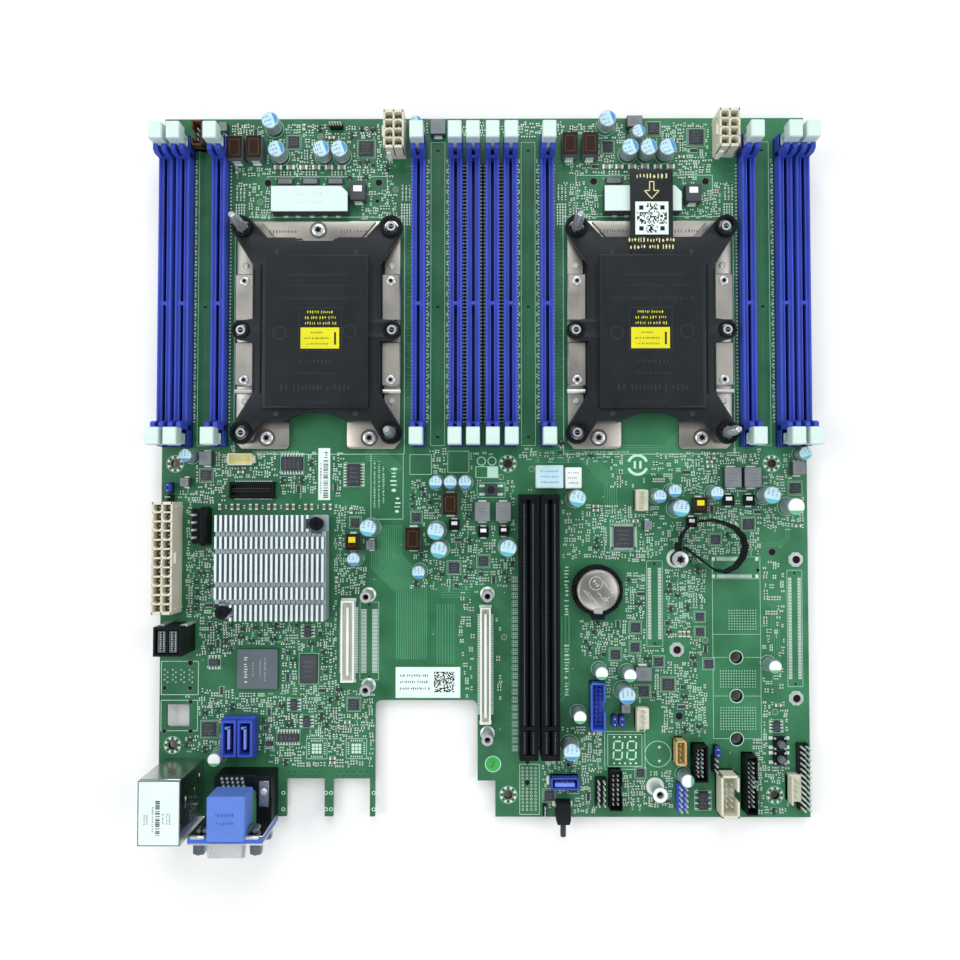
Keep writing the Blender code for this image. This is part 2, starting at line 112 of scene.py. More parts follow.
def add_range(tree, factor, low, high):
    mapped = tree.nodes.new("ShaderNodeMapRange")
    mapped.inputs["From Min"].default_value = 0.3
    mapped.inputs["From Max"].default_value = 0.7
    mapped.inputs["To Min"].default_value = low
    mapped.inputs["To Max"].default_value = high
    tree.links.new(factor, mapped.inputs["Value"])
    return mapped.outputs["Result"]


def add_bump(tree, shader, height, strength, distance):
    bump = tree.nodes.new("ShaderNodeBump")
    bump.inputs["Strength"].default_value = strength
    bump.inputs["Distance"].default_value = distance * MM
    tree.links.new(height, bump.inputs["Height"])
    tree.links.new(bump.outputs["Normal"], shader.inputs["Normal"])


def blank_material(name, metallic):
    made = bpy.data.materials.new(name)
    made.use_nodes = True
    shader = made.node_tree.nodes["Principled BSDF"]
    shader.inputs["Metallic"].default_value = metallic
    return made, made.node_tree, shader


PLASTIC_SHINE = 0.3


def plastic(name, code, rough=0.45, vary=0.10, grain=2500.0, bump=0.25, shine=PLASTIC_SHINE):
    """Moulded plastic: slow shifts of tone, fine grain, and polish that comes and goes."""
    made, tree, shader = blank_material(name, 0.0)
    shader.inputs["Specular IOR Level"].default_value = shine
    colour = linear(code)
    tone = add_noise(tree, 90.0)
    stops = [(0.3, shade(colour, 1 - vary)), (0.7, shade(colour, 1 + vary))]
    tree.links.new(add_ramp(tree, tone, stops), shader.inputs["Base Color"])
    fine = add_noise(tree, grain)
    tree.links.new(add_range(tree, tone, rough * 0.88, rough * 1.12), shader.inputs["Roughness"])
    add_bump(tree, shader, fine, bump, 0.03)
    return made


def metal(name, code, rough, vary, grain=900.0, metallic=1.0, stretch=(1.0, 1.0, 1.0), bump=0.2):
    """Metal with brushing along the axis whose stretch is small; dull plating is less metallic."""
    made, tree, shader = blank_material(name, metallic)
    colour = linear(code)
    brushed = add_noise(tree, grain, 4.0, stretch)
    smudge = add_noise(tree, 70.0)
    stops = [(0.3, shade(colour, 1 - vary)), (0.7, shade(colour, 1 + vary))]
    tree.links.new(add_ramp(tree, brushed, stops), shader.inputs["Base Color"])
    tree.links.new(add_range(tree, smudge, rough * 0.8, rough * 1.25), shader.inputs["Roughness"])
    add_bump(tree, shader, brushed, bump, 0.02)
    return made


def solder_mask(name, dark, light):
    """Glossy green mask: glass weave below it, cloudy tone, and a lighter cast towards +X."""
    made, tree, shader = blank_material(name, 0.0)
    shader.inputs["Specular IOR Level"].default_value = PLASTIC_SHINE
    coords = tree.nodes.new("ShaderNodeTexCoord")
    parts = tree.nodes.new("ShaderNodeSeparateXYZ")
    tree.links.new(coords.outputs["Object"], parts.inputs["Vector"])
    across = tree.nodes.new("ShaderNodeMapRange")
    across.inputs["From Min"].default_value = BOARD[0] * MM
    across.inputs["From Max"].default_value = BOARD[1] * MM
    tree.links.new(parts.outputs["X"], across.inputs["Value"])
    cloud = add_noise(tree, 60.0, 6.0)
    blend = tree.nodes.new("ShaderNodeMath")
    blend.operation = "MULTIPLY_ADD"
    blend.inputs[1].default_value = 0.30
    tree.links.new(across.outputs["Result"], blend.inputs[0])
    tree.links.new(cloud, blend.inputs[2])
    stops = [(0.30, linear(dark)), (0.95, linear(light))]
    tree.links.new(add_ramp(tree, blend.outputs["Value"], stops), shader.inputs["Base Color"])
    weave = tree.nodes.new("ShaderNodeTexBrick")
    weave.inputs["Scale"].default_value = 700.0
    weave.inputs["Mortar Size"].default_value = 0.05
    tree.links.new(coords.outputs["Object"], weave.inputs["Vector"])
    tree.links.new(add_range(tree, cloud, 0.32, 0.44), shader.inputs["Roughness"])
    add_bump(tree, shader, weave.outputs["Fac"], 0.10, 0.02)
    return made


PLASTICS = {
    "track": ("#4a8f66", 0.40, 0.10, 3000.0, 0.1),
    "track_dark": ("#1d4029", 0.40, 0.10, 3000.0, 0.1),
    "silk": ("#bfe6d3", 0.60, 0.08),
    "blue": ("#3a50bd", 0.42, 0.08),
    # A darker copy of the blue plastic, painted shade in slots and recesses: the memory socket slot and
    # contacts, drive connector floors, a header floor and a shunt's core.
    "blue_deep": ("#1b2878", 0.45, 0.08),
    "blue_pale": ("#6f8be0", 0.42, 0.08),
    "royal": ("#4668c8", 0.40, 0.06),
    "hood": ("#5d82d6", 0.40, 0.06),
    "mint": ("#d7ece6", 0.45, 0.03),
    "cover": ("#121a1e", 0.45, 0.12, 4500.0, 0.5),
    "cover_mark": ("#2c3237", 0.42, 0.10),
    "black": ("#101318", 0.42, 0.12, 2500.0, 0.25, 0.14),
    "chip": ("#343a40", 0.55, 0.10, 5000.0, 0.4),
    "chip_mark": ("#6b7074", 0.60, 0.10),
    "cream": ("#dedac6", 0.50, 0.05),
    # A darker copy of the cream plastic, painted shade on the floor of the power header cells.
    "cream_deep": ("#8d7f5f", 0.55, 0.10),
    "white": ("#edf3ef", 0.50, 0.05),
    "tan": ("#c9ad72", 0.50, 0.10),
    "straw": ("#e5dd9c", 0.55, 0.06),
    "brown": ("#2b1b12", 0.40, 0.15, 2500.0, 0.25, 0.15),
    "walnut": ("#5f432c", 0.45, 0.12),
    "navy": ("#2f50a0", 0.45, 0.10),
    "aqua": ("#bcdfe8", 0.50, 0.06),
    "sky": ("#4794cf", 0.45, 0.10),
    "teal": ("#4fbfcb", 0.45, 0.10),
    "leaf": ("#57bd85", 0.50, 0.10),
    "sticker": ("#39b254", 0.50, 0.06),
    "yellow": ("#e2dc1e", 0.50, 0.06),
    # Near-black for print and black parts; the strips between the middle memory sockets use it as painted
    # shadow.
    "ink": ("#121316", 0.60, 0.10),
    "label": ("#e2f3ee", 0.55, 0.05),
    "mlcc": ("#8a8075", 0.55, 0.18),
    "ferrite": ("#7b8286", 0.55, 0.12, 4000.0, 0.5),
    "ferrite_dark": ("#3f454a", 0.55, 0.15, 4000.0, 0.5),
    "slate": ("#5b666d", 0.55, 0.08, 4000.0, 0.3),
    "cell_mark": ("#d8d3c6", 0.50, 0.06),
    # Near-black painted shade, standing for the dark inside the holes, bores and recesses it lines and fills.
    "hole": ("#0d0b0a", 0.80, 0.20),
}
METALS = {
    "solder": ("#dbe8e1", 0.40, 0.10, 2500.0, 0.2),
    "gold": ("#a98a4e", 0.35, 0.10, 2500.0),
    "copper": ("#a0806c", 0.40, 0.10, 2500.0),
    "plate": ("#b7b3ab", 0.36, 0.03, 500.0, 1.0, (1.0, 0.05, 1.0), 0.1),
    "plate_mark": ("#6f685f", 0.45, 0.06),
    "screw": ("#d4d8d8", 0.28, 0.06, 1500.0, 0.6),
    "pin_steel": ("#8b949c", 0.34, 0.08, 1500.0, 1.0, (1.0, 1.0, 0.1)),
    "can": ("#b4c4cb", 0.42, 0.06, 900.0, 0.7, (1.0, 1.0, 0.05)),
    "tin": ("#bfc4c1", 0.24, 0.05, 600.0, 1.0, (0.05, 1.0, 1.0)),
    # The heatsink aluminium in a lighter and a darker copy: the lighter one is painted highlight on the upper
    # fin tops, the darker one painted shade on fin sides, fin roots and the base.
    "sink": ("#e6f2f3", 0.42, 0.04, 700.0, 0.35, (1.0, 0.04, 1.0)),
    "sink_deep": ("#a9b8be", 0.45, 0.06, 700.0, 0.5, (1.0, 0.04, 1.0)),
    "cell": ("#aaa9a3", 0.36, 0.05, 300.0),
}


def paint(name):
    """The shared material of that name, made when it is first asked for."""
    if name in bpy.data.materials:
        return bpy.data.materials[name]
    if name == "mask":
        return solder_mask(name, "#22583a", "#3c7f58")
    return plastic(name, *PLASTICS[name]) if name in PLASTICS else metal(name, *METALS[name])


# ---------------------------------------------------------------- mesh building

def circle(x, y, r, count=16, start=0.0):
    return [(x + r * math.cos(start + 2 * math.pi * i / count),
             y + r * math.sin(start + 2 * math.pi * i / count)) for i in range(count)]


def rectangle(x0, x1, y0, y1, corner=0.0, steps=1):
    """A rectangle's outline, anticlockwise, with its corners cut or rounded."""
    if corner <= 0:
        return [(x0, y0), (x1, y0), (x1, y1), (x0, y1)]
    points = []
    for cx, cy, first in ((x1 - corner, y0 + corner, -90), (x1 - corner, y1 - corner, 0),
                          (x0 + corner, y1 - corner, 90), (x0 + corner, y0 + corner, 180)):
        for i in range(steps + 1):
            angle = math.radians(first + 90 * i / steps)
            points.append((cx + corner * math.cos(angle), cy + corner * math.sin(angle)))
    return points


def mirror(side, a, b):
    """The span from a to b on one side of zero, its lower end first."""
    return sorted((side * a, side * b))


def levels(rings):
    """Outlines, each with a height, as rings of points for loft()."""
    return [[(x, y, z) for x, y in outline] for outline, z in rings]


class Shape:
    """Closed solids gathered into one mesh, each drawn in a local frame that at() sets."""

    def __init__(self):
        self.points = []
        self.faces = []
        self.paints = []
        self.at()

    def at(self, x=0.0, y=0.0, z=TOP, turn=0.0):
        self.place = (x, y, z)
        self.cos, self.sin = math.cos(math.radians(turn)), math.sin(math.radians(turn))
        return self

    def add(self, points, faces, paints):
        first = len(self.points)
        x, y, z = self.place
        for px, py, pz in points:
            self.points.append((x + px * self.cos - py * self.sin, y + px * self.sin + py * self.cos, z + pz))
        self.faces += [[first + i for i in face] for face in faces]
        self.paints += paints

    def loft(self, rings, colour, cap=None):
        """Skins rings of equal count and closes both ends; the last end may have its own paint."""
        count = len(rings[0])
        faces = [list(range(count))[::-1]]
        for ring in range(len(rings) - 1):
            low, high = ring * count, (ring + 1) * count
            faces += [[low + i, low + (i + 1) % count, high + (i + 1) % count,
                       high + i] for i in range(count)]
        faces.append([(len(rings) - 1) * count + i for i in range(count)])
        paints = [colour] * (len(faces) - 1) + [cap or colour]
        self.add([p for ring in rings for p in ring], faces, paints)
        return self

    def prism(self, outline, z0, z1, colour, cap=None):
        return self.loft(levels([(outline, z0), (outline, z1)]), colour, cap)

    def block(self, x0, x1, y0, y1, z0, z1, colour, edge=0.0, cap=None):
        """A box whose upper edges and upright corners are chamfered by edge."""
        if edge <= 0:
            return self.prism(rectangle(x0, x1, y0, y1), z0, z1, colour, cap)
        wide = rectangle(x0, x1, y0, y1, edge)
        narrow = rectangle(x0 + edge, x1 - edge, y0 + edge, y1 - edge, edge * 0.6)
        return self.loft(levels([(wide, z0), (wide, z1 - edge), (narrow, z1)]), colour, cap)

    def pair(self, a, b, y0, y1, z0, z1, colour, edge=0.0):
        """Two blocks, from a to b in X on each side of the local origin."""
        for side in (-1, 1):
            self.block(*mirror(side, a, b), y0, y1, z0, z1, colour, edge)

    def pair_y(self, x0, x1, a, b, z0, z1, colour, edge=0.0):
        """Two blocks, from a to b in Y on each side of the local origin."""
        for side in (-1, 1):
            self.block(x0, x1, *mirror(side, a, b), z0, z1, colour, edge)

    def turned(self, x, y, profile, colour, sides=20, cap=None, start=0.0):
        """A turned solid from (radius, height) pairs, from the bottom up."""
        return self.loft(levels([(circle(x, y, r, sides, start), z) for r, z in profile]), colour, cap)

    def disc(self, x, y, r, top, colour, sides, low=SUNK):
        return self.turned(x, y, [(r, low), (r, top)], colour, sides)

    def rod(self, x, y, z0, z1, r, colour, sides=12, edge=0.0, cap=None):
        profile = [(r, z0), (r, z1 - edge), (r - edge, z1)] if edge else [(r, z0), (r, z1)]
        return self.turned(x, y, profile, colour, sides, cap)

    def lying(self, profile, x, z, colour, sides=16, cap=None, start=0.0):
        """A turned solid along +Y at (x, z) from (radius, y) pairs."""
        rings = [[(px, y, -pz) for px, pz in circle(x, -z, r, sides, start)] for r, y in profile]
        return self.loft(rings, colour, cap)

    def strip(self, path, width, colour, low=SUNK, high=INK_TOP):
        """A flat line of that width along a path, with mitred corners."""
        left, right = offset(path, width / 2), offset(path, -width / 2)
        count = len(path)
        points = [(x, y, z) for z in (low, high) for side in (left, right) for x, y in side]
        bl, br, tl, tr = 0, count, 2 * count, 3 * count
        faces = [[bl, tl, tr, br], [bl + count - 1, br + count - 1, tr + count - 1, tl + count - 1]]
        for i in range(count - 1):
            faces += [[tl + i, tl + i + 1, tr + i + 1, tr + i], [bl + i, br + i, br + i + 1, bl + i + 1],
                      [bl + i, bl + i + 1, tl + i + 1, tl + i], [br + i, tr + i, tr + i + 1, br + i + 1]]
        self.add(points, [face[::-1] for face in faces], [colour] * len(faces))
        return self

    def ring(self, x, y, inner, outer, z0, z1, colour, sides=16):
        """A flat washer."""
        profile = ((inner, z0), (outer, z0), (outer, z1), (inner, z1))
        rings = levels([(circle(x, y, r, sides), z) for r, z in profile])
        points = [p for ring in rings for p in ring]
        faces = [[a * sides + i, a * sides + (i + 1) % sides, b * sides + (i + 1) % sides, b * sides + i]
                 for a, b in ((0, 1), (1, 2), (2, 3), (3, 0)) for i in range(sides)]
        self.add(points, faces, [colour] * len(faces))
        return self

    def mesh(self, name):
        mesh = bpy.data.meshes.new(name)
        mesh.from_pydata([(x * MM, y * MM, z * MM) for x, y, z in self.points], [], self.faces)
        names = sorted(set(self.paints))
        for colour in names:
            mesh.materials.append(paint(colour))
        mesh.polygons.foreach_set("material_index", [names.index(p) for p in self.paints])
        mesh.shade_smooth()
        mesh.set_sharp_from_angle(angle=math.radians(SMOOTH_BELOW))
        mesh.update()
        return mesh

    def make(self, name, slot=None, body="board", replaces=()):
        """Finishes the shape as a piece that rides on a body."""
        return show(name, self.mesh(name), body, replaces)


def offset(path, distance):
    """A path moved sideways by a distance, to its left."""
    moved = []
    for i, (x, y) in enumerate(path):
        before, after = path[max(i - 1, 0)], path[min(i + 1, len(path) - 1)]
        a = Vector((x - before[0], y - before[1]))
        b = Vector((after[0] - x, after[1] - y))
        a = a.normalized() if a.length > 0 else b.normalized()
        b = b.normalized() if b.length > 0 else a
        normal = Vector((-a.y - b.y, a.x + b.x)).normalized()
        stretch = distance / max(0.3, normal.dot(Vector((-a.y, a.x))))
        moved.append((x + normal.x * stretch, y + normal.y * stretch))
    return moved


def show(name, mesh, body="board", replaces=(), x=0.0, y=0.0, z=0.0, turn=0.0):
    """A piece from a mesh, placed in the frame, riding on its body and standing for CAD nodes."""
    piece = bpy.data.objects.new(name, mesh)
    bpy.context.scene.collection.objects.link(piece)
    piece.location = (x * MM, y * MM, z * MM)
    piece.rotation_euler.z = math.radians(turn)
    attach(piece, body)
    if replaces:
        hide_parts(*replaces)
    return piece


def finish_node(node, colour):
    """Gives a CAD node that stays in view its material."""
    mesh = NODES[node].data
    mesh.materials.clear()
    mesh.materials.append(paint(colour))


# ---------------------------------------------------------------- free room on the board

CELL = 0.5
TAKEN = set()


def cells(x0, x1, y0, y1):
    for i in range(math.floor(x0 / CELL), math.ceil(x1 / CELL)):
        for j in range(math.floor(y0 / CELL), math.ceil(y1 / CELL)):
            yield i, j


def claim(x, y, width, depth, margin=0.3):
    """Marks a rectangle of the board as used."""
    half_x, half_y = width / 2 + margin, depth / 2 + margin
    TAKEN.update(cells(x - half_x, x + half_x, y - half_y, y + half_y))


def is_free(x, y, width, depth):
    if abs(x) + width / 2 > BOARD[1] - 1 or abs(y) + depth / 2 > BOARD[3] - 1:
        return False
    return not any(cell in TAKEN for cell in cells(x - width / 2, x + width / 2, y - depth / 2,
                                                   y + depth / 2))


# ---------------------------------------------------------------- drawn shapes shared by many parts

def add_plate(shape, outline, holes, z0, z1, colour, bevel=0.0):
    """Adds a flat plate with holes and rounded edges to a shape, in its local frame."""
    curve = bpy.data.curves.new("outline", "CURVE")
    curve.dimensions = "2D"
    curve.fill_mode = "BOTH"
    curve.extrude = (z1 - z0) / 2 - bevel
    curve.bevel_depth = bevel
    curve.bevel_resolution = 1
    curve.offset = -bevel
    for loop in [outline, *holes]:
        spline = curve.splines.new("POLY")
        spline.points.add(len(loop) - 1)
        spline.use_cyclic_u = True
        for point, (x, y) in zip(spline.points, loop):
            point.co = (x, y, 0.0, 1.0)
    flat = bpy.data.objects.new("outline", curve)
    bpy.context.scene.collection.objects.link(flat)
    bpy.context.view_layer.update()
    mesh = bpy.data.meshes.new_from_object(flat.evaluated_get(bpy.context.evaluated_depsgraph_get()))
    welded = bmesh.new()
    welded.from_mesh(mesh)
    bmesh.ops.remove_doubles(welded, verts=welded.verts, dist=0.0001)
    bmesh.ops.recalc_face_normals(welded, faces=welded.faces)
    welded.to_mesh(mesh)
    welded.free()
    middle = (z0 + z1) / 2
    points = [(v.co.x, v.co.y, v.co.z + middle) for v in mesh.vertices]
    shape.add(points, [list(p.vertices) for p in mesh.polygons], [colour] * len(mesh.polygons))
    bpy.data.objects.remove(flat)
    bpy.data.curves.remove(curve)
    bpy.data.meshes.remove(mesh)


def arc(x, y, r, start, end, count):
    angles = [math.radians(start + (end - start) * i / (count - 1)) for i in range(count)]
    return [(x + r * math.cos(a), y + r * math.sin(a)) for a in angles]


def tray(shape, x0, x1, y0, y1, z0, z1, floor, wall, colour, inside=None, edge=0.15):
    """An open-topped box as one solid."""
    outer, brim = rectangle(x0, x1, y0, y1), rectangle(x0 + edge, x1 - edge, y0 + edge, y1 - edge)
    inner = rectangle(x0 + wall, x1 - wall, y0 + wall, y1 - wall)
    rings = [(outer, z0), (outer, z1 - edge), (brim, z1), (inner, z1), (inner, floor)]
    shape.loft(levels(rings), colour, inside)


def add_pin(shape, x, y, z0, z1, colour="gold", half=0.32):
    """A square contact pin with a tapered tip."""
    rings = ((half, z0), (half, z1 - 0.5), (half * 0.4, z1))
    shape.loft(levels([(rectangle(x - h, x + h, y - h, y + h), z) for h, z in rings]), colour)


def add_screw(shape, x, y, z, r, height, sides=20):
    """A pan-headed screw with a star recess."""
    profile = [(r, z), (r, z + height * 0.55), (r * 0.9, z + height * 0.85), (r * 0.7, z + height),
               (r * 0.42, z + height), (r * 0.36, z + height * 0.4)]
    shape.turned(x, y, profile, "screw", sides, cap="pin_steel")
    for step in range(3):
        angle = math.radians(20 + 60 * step)
        dx, dy = math.cos(angle) * r * 0.5, math.sin(angle) * r * 0.5
        shape.strip([(x - dx, y - dy), (x + dx, y + dy)], r * 0.16, "hole", z + height - 0.05,
                    z + height + 0.02)


def add_words(shape, x, y, length, height, colour="silk", turn=0.0, z=0.0, seed=1):
    """A line of plain strokes in place of lettering."""
    draw = random.Random(seed)
    cos, sin = math.cos(math.radians(turn)), math.sin(math.radians(turn))
    at = -length / 2
    while at < length / 2 - height * 0.5:
        wide = height * draw.uniform(0.35, 0.75)
        low, high = sorted(draw.sample((-0.5, -0.15, 0.15, 0.5), 2))
        middle = (low + high) / 2 * height * 0.3
        half = height * (0.5 if high - low > 0.4 else 0.35)
        px, py = x + (at + wide / 2) * cos - middle * sin, y + (at + wide / 2) * sin + middle * cos
        ends = [(px - half * -sin, py - half * cos), (px + half * -sin, py + half * cos)]
        shape.strip(ends, wide * 0.42, colour, z - 0.01, z + 0.03)
        if draw.random() < 0.6:
            mid = [(px - wide * 0.4 * cos, py - wide * 0.4 * sin),
                   (px + wide * 0.4 * cos, py + wide * 0.4 * sin)]
            shape.strip(mid, height * 0.2, colour, z - 0.01, z + 0.035)
        at += wide * 1.35 + (height * 0.5 if draw.random() < 0.15 else 0)


def add_frame(shape, x0, x1, y0, y1, width=0.22, colour="silk", z=0.0):
    """A printed rectangle."""
    corners = [(x0, y0), (x1, y0), (x1, y1), (x0, y1), (x0, y0)]
    for a, b in zip(corners, corners[1:]):
        shape.strip([a, b], width, colour, z - 0.01, z + 0.03)


# ---------------------------------------------------------------- memory sockets and latches

PITCH = 0.85
LATCH_OUT = 69.6
LATCH_RISE = 5.0


def memory_socket_mesh():
    """Two ridged rails round a contact slot, a key bar, end towers, and a cheek each side of a latch."""
    shape = Shape().at(z=0.0)
    rail_end, slot_floor, rail_top, key = 62.4, 2.4, 8.0, -6.5
    # The slot floor, the contacts and the short ribs in the rail channels are in the darker blue, as painted
    # shade in the slot and channels.
    shape.block(-3.2, 3.2, -73.2, 73.2, 0.1, slot_floor, "blue_deep")
    for inner, outer, low, high, edge in ((0.8, 3.2, slot_floor, 7.2, 0.3), (2.25, 3.1, 7.0, rail_top, 0.2),
                                          (0.8, 1.25, 7.0, rail_top - 0.3, 0.12)):
        shape.pair(inner, outer, -rail_end, rail_end, low, high, "blue", edge)
    y = -rail_end + 1.2
    while y < rail_end - 1:
        if abs(y - key) > 1.6:
            shape.pair(0.55, 0.85, y - 0.22, y + 0.22, slot_floor, 6.6, "blue_deep")
            shape.pair(1.45, 1.95, y - 0.2, y + 0.2, 7.1, 7.28, "blue_deep")
        y += PITCH
    shape.block(-0.9, 0.9, key - 0.8, key + 0.8, slot_floor, rail_top - 0.1, "blue", 0.2)
    for end in (-1, 1):
        shape.pair(2.35, 3.2, *mirror(end, 65.7, 73.2), slot_floor, rail_top, "blue", 0.4)
        shape.block(-3.2, 3.2, *mirror(end, 62.0, 63.2), slot_floor, 8.6, "blue", 0.3)
        for side in (-1, 1):
            wide = rectangle(*mirror(side, 0.8, 3.2), *mirror(end, 62.0, 65.6))
            narrow = rectangle(*mirror(side, 0.9, 2.9), *mirror(end, 63.0, 65.4))
            shape.loft(levels([(wide, 7.0), (wide, 13.0), (narrow, 15.6)]), "blue")
    return shape.mesh("memory_socket")


def latch_mesh():
    """A latch opening towards +Y: pivot foot, waisted stem, hook towards the module, ribbed thumb head."""
    shape = Shape().at(z=0.0)
    shape.block(-2.1, 2.1, -2.4, 2.4, -2.6, 3.0, "mint", 0.4)
    shape.block(-1.5, 1.5, -1.6, 2.2, 2.8, 10.6, "mint", 0.3)
    shape.block(-2.1, 2.1, 0.6, 2.3, 2.8, 10.6, "mint", 0.3)
    shape.block(-0.8, 0.8, -3.9, -1.2, 6.6, 8.6, "mint", 0.3)
    rings = [(2.5, -3.4, 3.2, 8.6), (3.1, -4.1, 3.8, 9.6), (3.1, -4.1, 3.8, 15.9), (2.7, -3.7, 3.4, 16.4)]
    shape.loft(levels([(rectangle(-w, w, a, b, 0.35), z) for w, a, b, z in rings]), "mint")
    for y in (0.2, 1.4, 2.6):
        shape.block(-2.3, 2.3, y - 0.3, y + 0.3, 16.3, 16.48, "mint", 0.1)
    for side in (-1, 1):
        rings = [[(side * x, y, z) for y, z in circle(0, 0, 0.9, 12)] for x in (1.9, 2.95)]
        shape.loft(rings if side < 0 else [ring[::-1] for ring in rings], "mint")
    return shape.mesh("memory_latch")


def add_solder_tails(shape, x, y, reach):
    """The rows of board pads that show on both sides of a memory socket."""
    step = PITCH * 2
    for i in range(-int(62 / step), int(62 / step) + 1):
        shape.at(x, y + i * step).pair(reach, reach + 0.75, -0.3, 0.3, SUNK, 0.06, "solder")


def make_memory():
    socket, latch = memory_socket_mesh(), latch_mesh()
    tails_and_gap_shadow = Shape()
    for number in range(1, 13):
        node = f"dimm_socket_{number:02d}"
        x, y = centre(node)
        show(f"memory_socket_{number:02d}", socket, replaces=[node], x=x, y=y, z=TOP)
        add_solder_tails(tails_and_gap_shadow, x, y, 3.25)
        for end, side, turn in (("front", 1, 0), ("rear", -1, 180)):
            body = f"dimm_latch_{end}_{number:02d}"
            show(f"memory_latch_{end}_{number:02d}", latch, body, [body], x=x,
                 y=y + side * LATCH_OUT, z=TOP + LATCH_RISE, turn=turn)
        claim(x, y, 7.6, 150)
    # The near-black strips between the middle sockets are painted shadow: the narrow gaps between these
    # sockets are dark only through shade.
    for number in (6, 7, 8):
        (x0, y), (x1, _) = centre(f"dimm_socket_{number - 1:02d}"), centre(f"dimm_socket_{number:02d}")
        tails_and_gap_shadow.at((x0 + x1) / 2, y).block(-1.0, 1.0, -62.0, 62.0, SUNK, 0.02, "ink")
    tails_and_gap_shadow.make("memory_socket_pads_and_gap_shadow")


FOOTPRINT_X = (-132.5, -21.8, 21.2, 132.4)


def make_memory_footprints():
    """The four unfilled memory places: four columns of holes, locating slots and a printed frame."""
    shape, marks = Shape(), Shape()
    _, y = centre("dimm_socket_01")
    for x in FOOTPRINT_X:
        add_frame(marks, x - 3.3, x + 3.3, y - 72.5, y + 72.5, 0.18)
        for column, shift in ((-2.3, 0), (-1.2, 0.5), (1.2, 0), (2.3, 0.5)):
            for i in range(-73, 74):
                py = y + (i + shift) * PITCH
                if abs(py - y + 6.5) > 1.4:
                    shape.disc(x + column, py, 0.25, 0.05, "track", 6, 0.0)
                    shape.disc(x + column, py, 0.19, 0.07, "hole", 6, 0.04)
        for dy in (-68.5, -6.5, 68.5):
            slot = [(x + 0.9 * a, y + dy + 0.45 * b) for a, b in circle(0, 0, 1, 14)]
            shape.prism(slot, 0.0, 0.05, "hole")
        claim(x, y, 6.8, 146)
    shape.make("memory_footprints")
    marks.make("memory_footprint_print")


# ---------------------------------------------------------------- processor sockets

STUD_X, STUD_Y = 34.8, 48.2
PLATE_TOP = 2.3


def bolster_shape():
    """The load frame: U plate, side springs, rolled bars, rivets, nuts and tapered guide pins."""
    shape = Shape().at(z=0.0)
    outline = [(-36.0, 52.6), (-38.6, 49.4), (-38.6, -52.4), (-36.0, -55.4),
               *arc(-15.6, -53.4, 2.0, -90, 0, 4), (-13.6, -43.0), (-31.2, -40.0), (-31.2, 43.0),
               (31.2, 43.0), (31.2, -40.0), (13.6, -43.0), *arc(15.6, -53.4, 2.0, 180, 270, 4),
               (36.0, -55.4), (38.6, -52.4), (38.6, 49.4), (36.0, 52.6)]
    add_plate(shape, outline, [], 0.3, PLATE_TOP, "plate", 0.15)
    add_plate(shape, [(-20.0, 44.0), (-8.0, 44.0), (-5.0, 41.4), (5.0, 41.4), (8.0, 44.0), (20.0, 44.0),
                      (27.0, 52.0), (-27.0, 52.0)], [], PLATE_TOP, 3.4, "plate", 0.12)
    for side in (-1, 1):
        for y0, y1 in ((4.6, 26.8), (-26.0, -5.4)):
            shape.block(*mirror(side, 29.4, 38.9), y0, y1, PLATE_TOP, 4.9, "plate", 0.5)
            add_screw(shape, side * 34.4, y0 + 2.8 if y0 < 0 else y1 - 3.4, 4.9, 2.2, 0.7)
        rings = [[(side * x, y, z) for y, z in circle(-28.4, 3.4, 1.1, 12)] for x in (29.4, 39.0)]
        shape.loft([ring[::-1] for ring in rings] if side > 0 else rings, "screw")
        for y in (31.4, -33.0):
            shape.turned(side * 34.6, y, [(1.5, PLATE_TOP), (1.5, 2.7), (1.1, 3.0)], "screw", 16)
        add_screw(shape, side * 24.2, -50.2, PLATE_TOP, 3.1, 1.0)
        shape.ring(side * 24.2, -50.2, 3.2, 4.1, PLATE_TOP - 0.1, PLATE_TOP + 0.2, "plate_mark", 20)
        add_words(shape, side * 17.0, 47.4, 13.0, 1.6, "plate_mark", z=PLATE_TOP + 1.1, seed=16 + side)
    add_screw(shape, 0.0, 48.0, 3.4, 3.2, 1.1)
    shape.ring(0.0, 48.0, 3.3, 4.1, 3.3, 3.6, "plate_mark", 20)
    for x, y in ((STUD_X, STUD_Y), (-STUD_X, -STUD_Y), (-35.2, -0.3), (35.2, -0.3)):
        shape.turned(x, y, [(2.9, PLATE_TOP), (2.9, 4.0), (2.4, 4.4), (2.4, 7.9), (2.1, 8.4), (1.3, 8.4),
                            (1.2, 6.4)], "screw", 20, cap="hole")
        shape.strip([(x - 1.5, y), (x + 1.5, y)], 0.5, "pin_steel", 8.3, 8.45)
    for x, y in ((-STUD_X, STUD_Y), (STUD_X, -STUD_Y)):
        shape.turned(x, y, [(3.2, PLATE_TOP), (3.2, 5.2), (2.5, 5.6), (2.4, 12.0), (2.2, 19.0), (1.5, 23.4),
                            (1.3, 24.6), (0.8, 25.0)], "screw", 20)
        shape.ring(x, y, 2.3, 2.65, 9.0, 9.6, "pin_steel", 20)
    return shape


def cover_outline():
    side = 29.8
    half = [(13.0, -42.2), (25.4, -43.0), *arc(STUD_X, -STUD_Y, 5.4, -135, 22, 13), (side, -30.0),
            (side, -5.6), *arc(35.2, -0.3, 4.5, -80, 80, 9), (side, 5.0), (side, 30.5),
            *arc(STUD_X, STUD_Y, 5.4, -22, 135, 13), (23.0, 43.2), (10.0, 43.2), (8.0, 41.2)]
    arch = arc(0.0, -64.4, 25.7, 120.0, 60.0, 13)[1:-1]
    return arch + half + [(-x, y) for x, y in reversed(half)]


